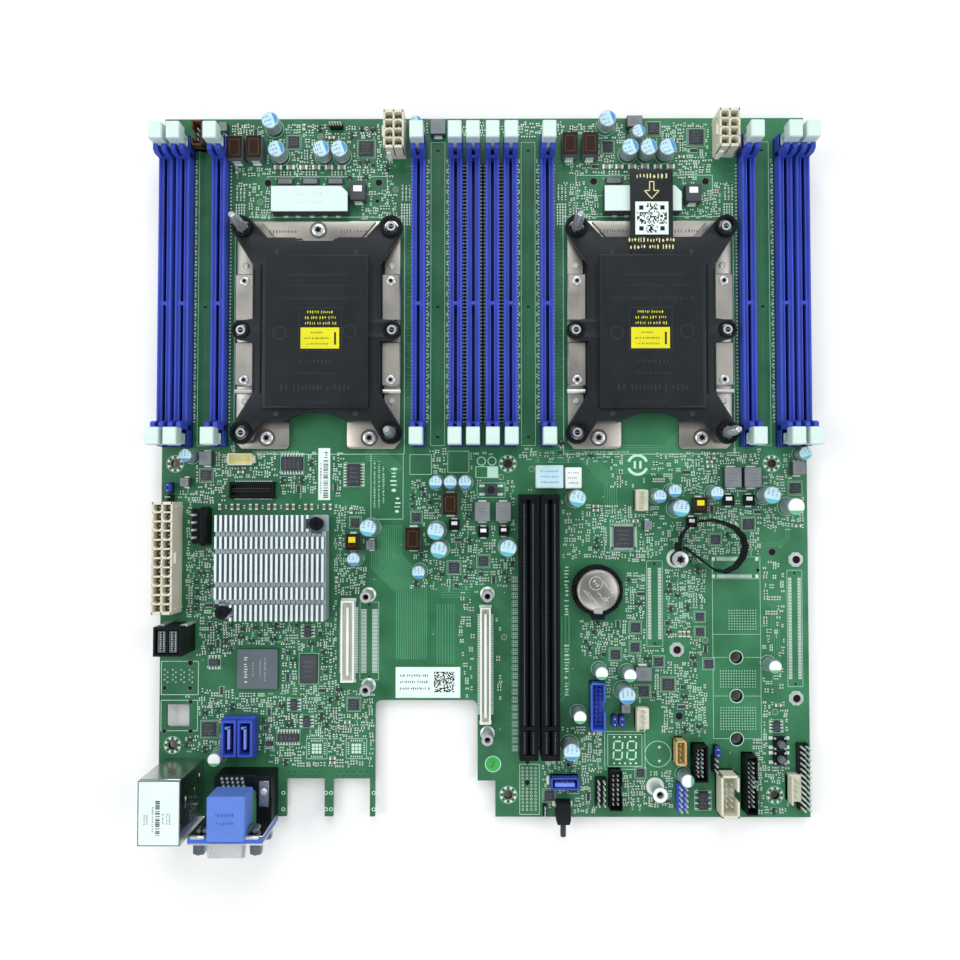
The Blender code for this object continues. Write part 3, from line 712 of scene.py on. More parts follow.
def cover_shape(with_tab):
    """The moulded cap: skin with stud collars, raised panel, plain marks, label and, on one, a pull tab."""
    shape = Shape().at(z=0.0)
    corners = [(s * STUD_X, t * STUD_Y) for s in (-1, 1) for t in (-1, 1)]
    ears = [(s * 35.2, -0.3) for s in (-1, 1)]
    holes = [circle(x, y, 3.5, 20) for x, y in corners] + [circle(x, y, 3.0, 18) for x, y in ears]
    add_plate(shape, cover_outline(), holes, 5.6, 8.0, "cover", 0.3)
    for x, y in corners:
        shape.ring(x, y, 3.5, 4.9, 5.5, 9.4, "black", 24)
    for x, y in ears:
        shape.ring(x, y, 3.0, 4.0, 5.5, 8.7, "black", 20)
    add_plate(shape, rectangle(-24.6, 24.6, -37.2, 34.6, 0.8, 2), [], 7.6, 9.6, "cover", 0.25)
    shape.block(-23.2, 23.2, -35.9, 33.4, 9.4, 9.75, "cover", 0.15)
    shape.pair(25.6, 26.3, -30.0, 30.0, 7.9, 8.5, "cover", 0.15)
    shape.pair(28.7, 29.3, 6.0, 28.0, 7.9, 8.3, "cover", 0.12)
    shape.pair(28.7, 29.3, -29.0, -6.5, 7.9, 8.3, "cover", 0.12)
    for side in (-1, 1):
        for y in (36.0, -39.5):
            shape.rod(side * 18.5, y, 7.9, 8.25, 1.3, "cover_mark", 14, 0.1)
    face = 9.75
    for x, y in ((-16.5, -2.2), (15.8, -1.4)):
        shape.ring(x, y, 2.7, 3.2, face - 0.02, face + 0.12, "cover_mark", 24)
    for number, (y, length, height) in enumerate(((25.0, 30, 1.4), (20.0, 33, 1.2), (13.9, 40, 1.6),
                                                  (-15.3, 16, 2.2), (-20.8, 18, 1.5), (-27.5, 34, 2.8),
                                                  (-34.2, 12, 1.4))):
        add_words(shape, 0.5, y, length, height, "cover_mark", z=face + 0.03, seed=number + 5)
    shift = -3.2 if with_tab else 0.0
    shape.block(shift - 6.8, shift + 11.1, -9.4, 0.4, face - 0.05, face + 0.08, "yellow", 0.03)
    add_frame(shape, shift - 7.6, shift + 12.2, -10.2, 9.6, 0.3, "cover_mark", face)
    for number, (y, length) in enumerate(((-7.2, 10), (-4.6, 12), (-2.0, 6))):
        add_words(shape, shift + 0.9, y, length, 0.9, "ink", z=face + 0.09, seed=number + 31)
    shape.strip([(shift + 9.2, -7.6), (shift + 9.2, -1.8)], 0.9, "ink", face + 0.07, face + 0.13)
    for number, (y, length) in enumerate(((2.4, 15), (5.0, 15), (7.6, 13))):
        add_words(shape, shift + 2.6, y, length, 1.3, "yellow", z=face + 0.03, seed=number + 41)
    if with_tab:
        add_tab(shape)
    return shape


def add_tab(shape):
    """The pull tab, with an arrow, a square of scattered cells and plain strokes for its two lines."""
    z = 9.2
    add_plate(shape, [*arc(8.1, 34.0, 1.8, -90, 0, 3), *arc(8.1, 72.6, 1.8, 0, 90, 4),
                      *arc(-8.1, 72.6, 1.8, 90, 180, 4), *arc(-8.1, 34.0, 1.8, 180, 270, 3)], [], 7.8, z,
              "cover", 0.2)
    arrow = [(-1.0, 68.6), (-1.0, 64.4), (-3.4, 64.4), (0.0, 60.6), (3.4, 64.4), (1.0, 64.4), (1.0, 68.6),
             (-1.0, 68.6)]
    for a, b in zip(arrow, arrow[1:]):
        shape.strip([a, b], 0.45, "straw", z - 0.02, z + 0.06)
    add_words(shape, 0.0, 71.2, 14.5, 2.2, "straw", z=z, seed=51)
    shape.block(-7.7, 7.7, 43.8, 59.2, z - 0.05, z + 0.06, "label", 0.02)
    draw = random.Random(11)
    cell, count = 0.6, 23
    for i in range(count):
        for j in range(count):
            corner = min(i, count - 1 - i) < 7 and min(j, count - 1 - j) < 7
            if draw.random() < 0.46 and not corner:
                x, y = -6.9 + i * cell, 44.6 + j * cell
                shape.prism(rectangle(x, x + cell, y, y + cell), z + 0.05, z + 0.09, "ink")
    for x, y in ((-4.9, 46.6), (4.9, 46.6), (4.9, 56.4), (-4.9, 56.4)):
        shape.prism(rectangle(x - 1.0, x + 1.0, y - 1.0, y + 1.0), z + 0.05, z + 0.09, "ink")
    for number, (y, length) in enumerate(((41.2, 22), (38.0, 21))):
        add_words(shape, 0.0, y, length, 2.0, "straw", z=z, seed=number + 61)


def processor_socket_shape():
    """The contact socket under the cap: frame, contact field in two halves, levers' rests."""
    shape = Shape().at(z=0.0)
    outline, well = rectangle(-30.6, 30.6, -38.2, 42.4, 1.0, 2), rectangle(-25.6, 25.6, -36.6, 36.8)
    add_plate(shape, outline, [well], 0.1, 5.2, "black", 0.2)
    shape.block(-26.0, 26.0, -37.0, 37.0, 0.1, 2.4, "black")
    shape.block(-9.0, 9.0, -1.2, 1.2, 2.2, 4.6, "black", 0.2)
    pitch = 2.0
    for i in range(-12, 13):
        for j in range(-17, 18):
            if abs(i * pitch) < 9.5 and abs(j * pitch) < 2:
                continue
            shape.block(i * pitch - 0.3, i * pitch + 0.3, j * pitch - 0.4, j * pitch + 0.4, 2.35, 3.0, "gold")
    return shape


def backplate_shape():
    shape = Shape().at(z=0.0)
    outline = rectangle(-39.0, 39.0, -54.0, 54.0, 3.0, 4)
    add_plate(shape, outline, [rectangle(-22.0, 22.0, -28.0, 28.0, 1.5, 3)], -2.3, -0.3, "plate", 0.2)
    for x, y in ((STUD_X, STUD_Y), (-STUD_X, -STUD_Y), (-STUD_X, STUD_Y), (STUD_X, -STUD_Y), (-35.2, -0.3),
                 (35.2, -0.3)):
        shape.turned(x, y, [(0.7, -2.35), (2.0, -2.5), (2.4, -2.3), (2.4, -0.3)], "screw", 18)
    for x in (-30.0, 30.0):
        shape.block(x - 0.8, x + 0.8, -26.0, 26.0, -2.5, -2.2, "plate", 0.1)
    return shape


def make_processor_sockets():
    meshes = {"bolster": bolster_shape().mesh("bolster"), "socket": processor_socket_shape().mesh("socket"),
              "backplate": backplate_shape().mesh("backplate"), "left": cover_shape(False).mesh("cover"),
              "right": cover_shape(True).mesh("tab_cover")}
    for side in ("left", "right"):
        x, y = centre(f"backplate_{side}")
        for name, mesh, slot, body, node, z in (
                ("load_frame", "bolster", "plate_steel", "board", "bolster_plate", TOP),
                ("contact_socket", "socket", "contact_black", "board", "cpu_socket", TOP),
                ("stiffener", "backplate", "plate_steel", "board", "backplate", 0.0),
                ("cap", side, "cap_black", f"socket_cover_{side}", "socket_cover", TOP)):
            show(f"{name}_{side}", meshes[mesh], body, [f"{node}_{side}"], x=x, y=y, z=z)
        claim(x, y - 1.4, 78, 110)


# ---------------------------------------------------------------- power headers, heatsink, coin cell, risers

def power_header_mesh(rows):
    """A two-column power header: square cells with a pin in each, skirt, latch ramp and corner pegs."""
    shape = Shape().at(z=0.0)
    pitch, height, floor = 4.2, 12.8, 3.8
    half_y = rows * pitch / 2 + 0.6
    # The top of the base, the floor of the deep cells, is the darker cream as painted shade.
    shape.block(-4.8, 4.8, -half_y, half_y, 0.1, floor, "cream", 0.0, "cream_deep")
    for x0, x1 in ((-4.8, -3.9), (-0.4, 0.4), (3.9, 4.8)):
        shape.block(x0, x1, -half_y, half_y, floor, height, "cream", 0.15)
    for row in range(rows + 1):
        y = (row - rows / 2) * pitch
        wide = 0.75 if row in (0, rows) else 0.38
        shape.block(-4.7, 4.7, max(y - wide, -half_y), min(y + wide, half_y), floor, height, "cream", 0.15)
    for row in range(rows):
        for column in (-1, 1):
            x, y = column * pitch / 2, (row - (rows - 1) / 2) * pitch
            add_pin(shape, x, y, floor - 0.2, 9.6, "screw", 0.55)
            if (row + (column > 0)) % 2:
                for sx in (-1, 1):
                    corner = [(x + sx * 1.75, y - 1.75), (x + sx * 1.75, y - 0.85), (x + sx * 0.85, y - 1.75)]
                    shape.prism(corner if sx < 0 else corner[::-1], floor, height - 0.1, "cream")
    ramp = [[(4.7, y, z) for y, z in ((-2.6, 7.0), (2.6, 7.0), (2.6, 10.6), (-2.6, 10.6))],
            [(5.7, y, z) for y, z in ((-2.4, 9.4), (2.4, 9.4), (2.4, 10.4), (-2.4, 10.4))]]
    shape.loft(ramp, "cream")
    for y in (-half_y + 2.2, half_y - 2.2):
        shape.block(4.6, 5.1, y - 0.5, y + 0.5, 0.1, 9.0, "cream", 0.1)
    if rows == 4:
        shape.block(1.6, 3.8, half_y - 0.1, half_y + 0.9, 0.1, 8.6, "white", 0.3)
    return shape.mesh("power_header")


def make_power_headers():
    for node, rows, turn in (("atx_power_header", 12, 0), ("eps_power_header_left", 4, 180),
                             ("eps_power_header_right", 4, 180)):
        x0, x1, y0, y1, _, _ = span(node)
        shift = 0.45 if turn == 0 else -0.45
        x, y = (x0 + x1) / 2 - shift, (y0 + y1) / 2
        show(node + "_housing", power_header_mesh(rows), replaces=[node], x=x, y=y, z=TOP,
             turn=turn)
        claim(x, y, 12, y1 - y0 + 1)


SINK_CHANNELS = (-15.5, -7.6, 7.6, 15.5)


def make_heatsink():
    """Extruded fins whose tops four saw cuts cross, on a base with two spring push pins."""
    x, y = centre("chipset_heatsink")
    shape = Shape().at(x, y)
    half_x, half_y, low, notch, top = 25.5, 24.2, 4.4, 9.8, 13.0
    fins, thick, root, cut, clear = 22, 1.15, 2.05, 1.1, 4.6
    pin_x, pin_y = half_x - 4.0, half_y - 4.0
    # The base takes the darker aluminium as painted shade.
    shape.block(-half_x, half_x, -half_y, half_y, 1.8, low, "sink_deep", 0.3)
    shape.block(-14.0, 14.0, -14.0, 14.0, 0.1, 1.8, "chip", 0.2)
    cuts = [-half_y] + [v for c in SINK_CHANNELS for v in (c - cut, c + cut)] + [half_y]
    for fin in range(fins):
        fx = -half_x + root / 2 + fin * (2 * half_x - root) / (fins - 1)
        reach = clear ** 2 - (abs(fx) - pin_x) ** 2
        gap = math.sqrt(reach) if reach > 0 else 0
        side = 1 if fx > 0 else -1
        edge = side * (pin_y - gap) if gap else half_y * side
        sections = [(low - 0.1, notch, -half_y, half_y)]
        sections += [(notch - 0.1, top, start, end) for start, end in zip(cuts[::2], cuts[1::2])]
        for z0, z1, start, end in sections:
            # Fin sides and root tops take the darker aluminium as painted shade; the upper fin tops take the
            # lighter one as painted highlight.
            half, tops = (thick / 2, "sink") if z0 > low else (root / 2, "sink_deep")
            past = side * (pin_y + gap)
            if gap and abs(past) < half_y:
                tip = (max(start, past), end) if side > 0 else (start, min(end, past))
                if tip[1] - tip[0] > 0.6:
                    shape.block(fx - half, fx + half, *tip, z0, z1, "sink_deep", 0.06, tops)
            start, end = (start, min(end, edge)) if side > 0 else (max(start, edge), end)
            if end - start > 0.6:
                shape.block(fx - half, fx + half, start, end, z0, z1, "sink_deep", 0.06, tops)
    shape.make("chipset_cooler", "sink_aluminium", replaces=["chipset_heatsink"])
    pins = Shape()
    for sx in (1, -1):
        pins.at(x + sx * pin_x, y + sx * pin_y)
        head = [(2.2, low), (2.2, low + 0.8), (1.5, low + 1.0), (1.5, 11.0), (3.0, 11.4), (3.2, 12.6),
                (2.8, 13.3), (1.2, 13.3), (1.0, 12.6)]
        pins.turned(0, 0, head, "black", 20)
        for coil in range(6):
            pins.ring(0, 0, 1.7, 2.2, low + 1.0 + coil, low + 1.45 + coil, "pin_steel", 16)
        pins.turned(0, 0, [(1.4, -2.6), (1.9, -1.9), (1.6, -1.2), (1.3, 0.0), (1.3, low)], "black", 14)
    pins.at(x, y).make("cooler_push_pins", "slot_black")
    claim(x, y, 53, 51)


def make_coin_cell():
    """The cell with its stepped rim and generic plus mark, in a notched holder with a sprung clip."""
    x, y = centre("coin_cell")
    holder = Shape().at(x, y)
    holder.disc(0, 0, 11.9, 1.6, "black", 40, 0.1)
    holder.ring(0, 0, 10.4, 11.9, 1.5, 3.0, "black", 40)
    for start, count in ((22, 12), (202, 12)):
        for step in range(count):
            a0, a1 = math.radians(start + step * 12), math.radians(start + step * 12 + 12.2)
            corners = ((10.4, a0), (11.8, a0), (11.8, a1), (10.4, a1))
            wall = [(r * math.cos(a), r * math.sin(a)) for r, a in corners]
            holder.prism(wall, 1.5, 5.2, "black")
    for turn in (205, 262, 318, 20, 140):
        px, py = 11.2 * math.cos(math.radians(turn)), 11.2 * math.sin(math.radians(turn))
        holder.rod(px, py, 5.0, 5.9, 0.7, "black", 10, 0.15)
    holder.block(-3.0, 3.0, -13.3, -10.7, 0.1, 6.4, "black", 0.4)
    holder.block(-2.0, 2.0, -12.4, -8.4, 5.15, 5.5, "screw", 0.15)
    holder.block(-1.2, 1.2, -12.9, -12.2, 0.1, 6.0, "screw", 0.2)
    holder.make("cell_holder", "slot_black", replaces=["battery_holder"])
    cell = Shape().at(x, y)
    cell.turned(0, 0, [(8.6, 1.9), (9.6, 2.1), (10.0, 2.5), (10.0, 4.85), (9.75, 5.1), (9.1, 5.1), (8.9, 5.0),
                       (8.7, 5.1), (0.5, 5.1)], "cell", 56)
    for ends in (((2.7, -4.9), (5.1, -3.1)), ((3.0, -2.8), (4.8, -5.2))):
        cell.strip(list(ends), 0.35, "cell_mark", 5.08, 5.13)
    cell.ring(-1.0, 3.4, 2.9, 3.15, 5.08, 5.13, "cell_mark", 24)
    for number, (px, py, length, high) in enumerate(((4.6, 1.6, 8.0, 1.0), (1.2, -2.4, 7.5, 1.0),
                                                     (-2.4, -3.6, 7.0, 0.9), (-5.2, -1.6, 6.0, 0.8),
                                                     (-1.0, 3.4, 3.6, 1.6))):
        add_words(cell, px, py, length, high, "cell_mark", 128, 5.1, number + 71)
    cell.make("button_cell", "cell_steel", "coin_cell", ["coin_cell"])
    claim(x, y, 26, 27)


def make_riser_slots():
    """Card slots with contact rows, a key bar, chamfered mouth and end bosses."""
    for name in ("riser_slot_left", "riser_slot_right"):
        x, y = centre(name)
        shape = Shape().at(x, y)
        half, top, key = 60.7, 11.0, -46.2
        shape.pair(1.0, 1.5, -half + 2, half - 2, top - 1.0, top, "black", 0.15)
        shape.pair(3.4, 4.2, -half, half, top - 1.0, top, "black", 0.2)
        shape.pair(1.0, 4.3, -half, half, 0.1, top - 0.6, "black", 0.3)
        for i in range(int(2 * half - 7)):
            py = -half + 3.5 + i
            if abs(py - key) >= 1.3:
                shape.pair(0.6, 1.05, py - 0.25, py + 0.25, 2.6, 9.6, "ink")
                shape.pair(1.7, 2.3, py - 0.22, py + 0.22, top - 0.7, top - 0.45, "slate")
        shape.block(-4.3, 4.3, -half, half, 0.1, 2.6, "black")
        for y0, y1 in ((-half, -half + 2.4), (half - 2.4, half), (key - 0.9, key + 0.9)):
            shape.block(-3.6, 3.6, y0, y1, 0.1, top - 0.1, "black", 0.2)
        shape.make(name + "_body", "slot_black", replaces=[name])
        claim(x, y, 10.5, 124)


# ---------------------------------------------------------------- rear ports, storage connectors

def make_network_stack():
    """The plated can round a network jack and two USB ports, with springs, seams and a printed label."""
    x0, x1, y0, y1, _, z1 = span("lan_usb_stack")
    finish_node("lan_usb_stack", "tin")
    x, top = (x0 + x1) / 2, z1 - TOP
    trim = Shape().at(x, 0.0)
    half = (x1 - x0) / 2
    trim.pair(half - 0.3, half + 0.12, y0 + 8.2, y0 + 8.6, 0.3, top - 0.4, "pin_steel")
    trim.pair(half - 1.4, half - 0.4, y0 + 9.0, y0 + 10.4, -3.0, 0.3, "tin")
    for side in (-1, 1):
        for y, z in ((-150.0, 23.0), (-150.0, 12.0), (-145.5, 6.0), (-158.0, 17.5)):
            trim.block(*mirror(side, half, half + 0.35), y - 2.6, y + 2.6, z - 1.0, z + 1.0, "tin", 0.15)
    trim.block(-half + 0.3, half - 0.3, y1 - 0.1, y1 + 0.25, 1.0, top - 1.0, "tin", 0.2)
    for dx in (-5.0, 5.0):
        trim.block(dx - 1.1, dx + 1.1, y0 - 0.25, y0 + 0.5, 27.4, 29.0, "leaf" if dx < 0 else "yellow", 0.15)
    trim.block(-half + 0.5, half - 0.5, y0 + 0.5, y1 - 0.5, top - 0.02, top + 0.05, "label", 0.02)
    draw = random.Random(3)
    at = y0 + 4.5
    while at < y1 - 8.5:
        wide = draw.choice((0.2, 0.35, 0.6))
        trim.block(-1.4, 0.5, at, at + wide, top + 0.04, top + 0.08, "ink")
        at += wide + draw.choice((0.25, 0.4, 0.7))
    for number, (px, length) in enumerate(((-6.2, 5.0), (-5.0, 5.0), (-2.6, 11.0), (1.9, 4.5), (3.6, 5.0),
                                           (4.8, 5.0))):
        add_words(trim, px, (y0 + y1) / 2 - 2.4, length, 0.8, "ink", 90, top + 0.05, number + 81)
    for i in range(8):
        px = -3.6 + i * 1.02
        trim.block(px - 0.16, px + 0.16, y0 + 4.0, y0 + 11.5, 25.6, 26.0, "gold")
    for z in (4.6, 12.6):
        for i in range(4):
            px = -3.6 + i * 2.4
            trim.block(px - 0.5, px + 0.5, y0 + 2.0, y0 + 10.5, z - 0.12, z + 0.05, "gold")
    trim.make("network_stack_trim", "port_steel")
    claim(x, (y0 + y1) / 2, x1 - x0 + 1, y1 - y0 + 1)


def d_ring(x, y0, y1, z, half_w, half_h, wall, shape, colour):
    """A D-shaped connector shell, open towards the rear."""
    def outline(grow):
        w, h = half_w + grow, half_h + grow
        return [(-w + 1.2, h), (-w, h - 1.0), (-w + 1.3, -h + 0.9), (-w + 2.3, -h),
                (w - 2.3, -h), (w - 1.3, -h + 0.9), (w, h - 1.0), (w - 1.2, h)]
    rings = [(outline(0), y1), (outline(0), y0), (outline(-wall), y0), (outline(-wall), y1 - 0.6)]
    shape.loft([[(x + px, y, z + pz) for px, pz in ring] for ring, y in rings], colour, "ink")


def make_video_stack():
    """Blue video port above a black serial port, sharing a steel-backed flange with jack screws."""
    x, flange = centre("video_serial_stack")[0] - 0.1, span("video_serial_stack")[2] + 6.0
    body = Shape().at(x, 0.0)
    body.block(-16.3, 16.3, flange + 0.6, flange + 3.2, 0.1, 28.2, "royal", 0.4)
    body.block(-7.4, 9.2, flange + 2.0, -145.6, 17.0, 29.8, "hood", 0.5)
    body.block(-7.2, 9.0, flange + 2.0, -148.6, 11.0, 17.6, "hood", 0.3)
    for row in range(2):
        add_words(body, 0.9, -153.5 - row * 3.4, 9.0 - row, 1.5, "navy", z=29.8, seed=91 + row)
    body.block(-9.6, 16.2, flange + 2.4, -142.2, 0.1, 12.0, "black", 0.4)
    body.block(8.4, 16.2, -152.0, -142.2, 11.6, 12.8, "black", 0.3)
    body.block(-9.6, -8.0, flange + 3.0, -143.0, 11.0, 12.6, "black", 0.2)
    for row in range(3):
        for column in range(5):
            px, py = -6.4 + column * 2.3 + row * 0.4, -143.6 - row * 1.7
            body.ring(px, py, 0.5, 0.85, 11.9, 12.2, "slate", 12)
            body.block(px - 0.3, px + 0.3, py - 0.3, py + 0.3, 11.9, 12.5, "solder", 0.1)
    body.prism([(8.4, flange + 3.0), (9.4, flange + 3.0), (9.4, -149.0), (8.4, -149.0)], 11.6, 17.8, "track")
    body.make("video_serial_body", "video_blue", replaces=["video_serial_stack"])
    steel = Shape().at(x, 0.0)
    steel.block(-16.4, 16.4, flange, flange + 0.7, 0.3, 28.0, "screw", 0.15)
    steel.block(-16.4, 16.4, flange + 3.0, flange + 3.7, 0.3, 27.2, "tin", 0.15)
    for z, low in ((22.6, "blue"), (6.2, "black")):
        d_ring(0.0, flange - 6.0, flange + 0.3, z, 8.4, 4.2, 0.6, steel, "screw")
        steel.block(-6.6, 6.6, flange - (5.0 if low == "blue" else 2.0), flange, z - 2.8, z + 2.8, low, 0.2)
        rows = ((-1.9, 5, 0), (0, 5, 1.1), (1.9, 5, 0)) if low == "blue" else ((-1.4, 4, 0), (1.4, 5, 0))
        for dz, count, shift in rows:
            for i in range(count):
                px = (i - (count - 1) / 2) * 2.3 + shift
                front = flange - 5.1 if low == "blue" else flange - 5.0
                colour = "ink" if low == "blue" else "gold"
                steel.lying([(0.5, flange - 0.5), (0.5, front)][::-1], px, z + dz, colour, 8)
        for side in (-1, 1):
            steel.lying([(2.6, flange - 5.6), (2.9, flange - 5.2), (2.9, flange + 0.2)], side * 12.5, z,
                        "pin_steel", 6, start=math.pi / 6)
            steel.lying([(1.4, flange - 5.75), (1.4, flange - 5.5)], side * 12.5, z, "hole", 14)
    steel.pair(8.8, 15.0, flange + 2.6, flange + 3.9, 27.0, 28.6, "screw", 0.3)
    steel.pair(11.6, 15.8, flange + 3.6, flange + 8.0, 0.3, 1.2, "tin", 0.2)
    steel.pair(12.6, 14.6, flange + 9.0, flange + 11.0, -2.8, 0.4, "tin", 0.3)
    for side in (-1, 1):
        for px in (9.6, 12.2):
            steel.turned(side * px, flange + 5.0, [(1.5, 20.0), (1.5, 24.0), (0.9, 25.2)], "pin_steel", 12)
    steel.block(10.8, 15.2, -156.0, -144.4, 12.6, 13.2, "pin_steel", 0.2)
    steel.turned(13.0, -149.0, [(1.6, 13.1), (1.6, 13.7), (1.0, 14.2)], "screw", 14)
    steel.make("video_serial_shells", "port_steel")
    claim(x, -156.0, 34, 28)


def make_storage_connectors():
    """A black double connector with two contact bars, and two blue drive connectors with L tongues."""
    x, y = centre("sas_connector")
    shape = Shape().at(x, y)
    tray(shape, -6.4, 6.4, -6.6, 6.6, 0.1, 18.0, 5.5, 1.2, "black", "ink", 0.3)
    for dx in (-2.6, 2.6):
        shape.at(x + dx, y)
        tray(shape, -1.7, 1.7, -4.8, 4.8, 5.0, 17.6, 9.0, 0.5, "slate", "ink", 0.12)
        for i in range(9):
            shape.pair(0.6, 1.05, i - 4.25, i - 3.75, 8.0, 17.0, "solder")
    shape.at(x, y)
    shape.block(-0.5, 0.5, -5.4, 5.4, 5.0, 17.6, "black", 0.1)
    shape.pair(4.6, 6.6, -3.4, 3.4, 9.0, 13.0, "black", 0.3)
    shape.pair(3.6, 6.6, 5.9, 6.9, 0.1, 12.0, "screw", 0.2)
    shape.make("double_storage_connector", "slot_black", replaces=["sas_connector"])
    claim(x, y, 15, 16)
    drives = Shape()
    for sx in (-117.3, -109.8):
        drives.at(sx, -127.0)
        # The tray floor is the darker blue, painted shade inside the tray.
        tray(drives, -3.5, 3.5, -8.4, 8.4, 0.1, 8.2, 2.0, 1.1, "blue", "blue_deep", 0.25)
        drives.block(-0.7, 0.5, -5.0, 5.2, 1.8, 7.6, "blue_pale", 0.15)
        drives.block(-2.0, 0.5, 4.2, 5.3, 1.8, 7.6, "blue_pale", 0.15)
        for i in range(7):
            drives.block(0.45, 0.7, -4.4 + i * 1.3, -3.9 + i * 1.3, 2.0, 7.2, "gold")
        drives.block(-3.9, 3.9, -9.0, -8.2, 0.1, 4.0, "blue", 0.2)
        drives.block(-3.9, 3.9, 8.2, 9.0, 0.1, 4.0, "blue", 0.2)
        claim(sx, -127.0, 8, 19)
    drives.make("drive_connectors", "socket_blue")


def make_buttons():
    """Two tact switches under their moving caps, and the rear locator button in its tapered housing."""
    cases = Shape()
    for node in ("power_button", "reset_button"):
        x, y = centre(node)
        cases.at(x, y).block(-3.0, 3.0, -3.0, 3.0, 0.1, 1.5, "black", 0.2)
        add_plate(cases, rectangle(-3.0, 3.0, -3.0, 3.0, 0.5, 2), [circle(0, 0, 2.0, 20)], 1.4, 1.8,
                  "black", 0.08)
        for sx in (-1, 1):
            for sy in (-1, 1):
                cases.rod(sx * 2.35, sy * 2.35, 1.7, 2.0, 0.52, "screw", 10, 0.1)
                cases.block(*mirror(sx, 2.8, 4.8), *mirror(sy, 1.4, 2.9), SUNK, 0.25, "solder", 0.08)
                cases.block(*mirror(sx, 2.8, 3.3), *mirror(sy, 1.8, 2.7), 0.1, 0.9, "solder")
        cap = Shape().at(x, y)
        cap.turned(0, 0, [(1.75, 2.2), (1.75, 4.4), (1.5, 4.75), (0.9, 4.8), (0.8, 4.7)], "slate", 24)
        cap.make(node + "_cap", "button_black", node, [node])
        claim(x, y, 10, 6.6)
    cases.at(3.5, -12.5).block(-3.0, 3.0, -2.6, 2.6, 0.1, 1.6, "ferrite_dark", 0.2)
    cases.turned(0, 0, [(1.6, 1.5), (1.6, 2.3), (1.4, 2.5)], "ink", 20)
    for sx in (-1, 1):
        for sy in (-1, 1):
            cases.block(*mirror(sx, 2.8, 5.6), *mirror(sy, 1.4, 2.6), SUNK, 0.3, "solder", 0.1)
    claim(3.5, -12.5, 13.4, 7.0)
    cases.make("switch_cases", "button_black")
    x, (x0, x1, y0, y1, _, _) = centre("id_button_body")[0], span("id_button_body")
    body = Shape().at(x, 0.0)
    front = rectangle(-3.4, 3.4, 0.1, 6.4, 0.3)
    ring = circle(0.0, 3.4, 1.75, len(front), -2.4)
    rings = [(front, y1), (front, y0 + 2.2), ([(px * 0.82, pz * 0.9 + 0.3) for px, pz in front], y0 + 0.2),
             (ring, y0), (ring, y0 + 6.0)]
    body.loft([[(px, y, pz) for px, pz in outline] for outline, y in rings], "black", "ink")
    body.pair(3.3, 3.9, y1 - 3.0, y1 - 1.5, 0.0, 3.0, "screw", 0.1)
    body.pair(3.0, 4.6, y1 - 3.4, y1 - 1.1, SUNK, 0.2, "solder")
    body.make("locator_button_housing", "button_black", replaces=["id_button_body"])
    x0, x1, y0, y1, _, z1 = span("id_button")
    plunger = Shape().at((x0 + x1) / 2, 0.0)
    plunger.lying([(0.7, y0), (1.1, y0 + 0.15), (1.3, y0 + 0.5), (1.3, y1 - 2.0), (1.1, y1)], 0.0,
                  z1 - TOP - 1.3, "chip", 20)
    plunger.make("locator_button", "button_black", "id_button", ["id_button"])
    claim(x, -161.0, 9, 12)


# ---------------------------------------------------------------- capacitors, chokes, chips

def add_can(shape, x, y, radius, top, segment, face="aqua", turn=0.0):
    """A radial polymer capacitor: seal, crimped can, printed top with a coloured segment."""
    shape.at(x, y, TOP, turn).turned(0, 0, [(radius * 0.8, 0.05), (radius * 0.9, 0.3), (radius * 0.9, 1.3)],
                                     "ferrite_dark", 24)
    shape.ring(0, 0, radius + 0.35, radius + 0.55, SUNK, INK_TOP, "silk", 28)
    for side in (-1, 1):
        shape.turned(side * radius * 0.4, 0, [(0.35, -2.6), (0.8, -2.0)], "solder", 8)
    profile = [(radius * 0.94, 1.2), (radius, 1.6), (radius, 2.2), (radius * 0.93, 2.5), (radius, 2.8),
               (radius, top - 0.7), (radius * 0.97, top - 0.25), (radius * 0.90, top)]
    shape.turned(0, 0, profile, "can", 28)
    shape.turned(0, 0, [(radius * 0.88, top - 0.05), (radius * 0.88, top + 0.04)], face, 28)
    shape.prism(arc(0, 0, radius * 0.87, -58, 58, 10), top + 0.02, top + 0.08, segment)
    for row in range(3 if face == "aqua" else 0):
        add_words(shape, -radius * 0.28, (row - 1) * radius * 0.5, radius * 0.85, radius * 0.24, "navy", 0,
                  top + 0.03, int(x * 7 + y) + row)
    claim(x, y, 2 * radius + 1.0, 2 * radius + 0.6)


FRONT_CANS = [(-100.0, 160.5), (-97.0, 147.0), (-76.0, 147.0), (-67.5, 147.0), (58.0, 161.0), (68.5, 147.5),
              (77.2, 147.5), (86.0, 147.5)]
MIDDLE_CANS = [(-53.0, -30.0), (-22.0, -31.5), (-20.5, -40.0), (11.2, -39.3), (43.0, -16.5), (90.4, -21.0),
               (132.0, -15.0)]
MIDDLE_SMALL_CANS = [(-138.0, 3.5), (-22.2, -9.0), (-15.4, -9.0), (-8.6, -9.0), (-60.0, -44.5),
                     (-30.0, -50.5), (81.2, -15.5), (88.2, -13.0), (107.5, -14.0)]
REAR_SMALL_CANS = [(54.0, -96.5), (67.0, -97.5), (133.2, -93.5), (44.0, -116.5), (-123.3, -136.0)]


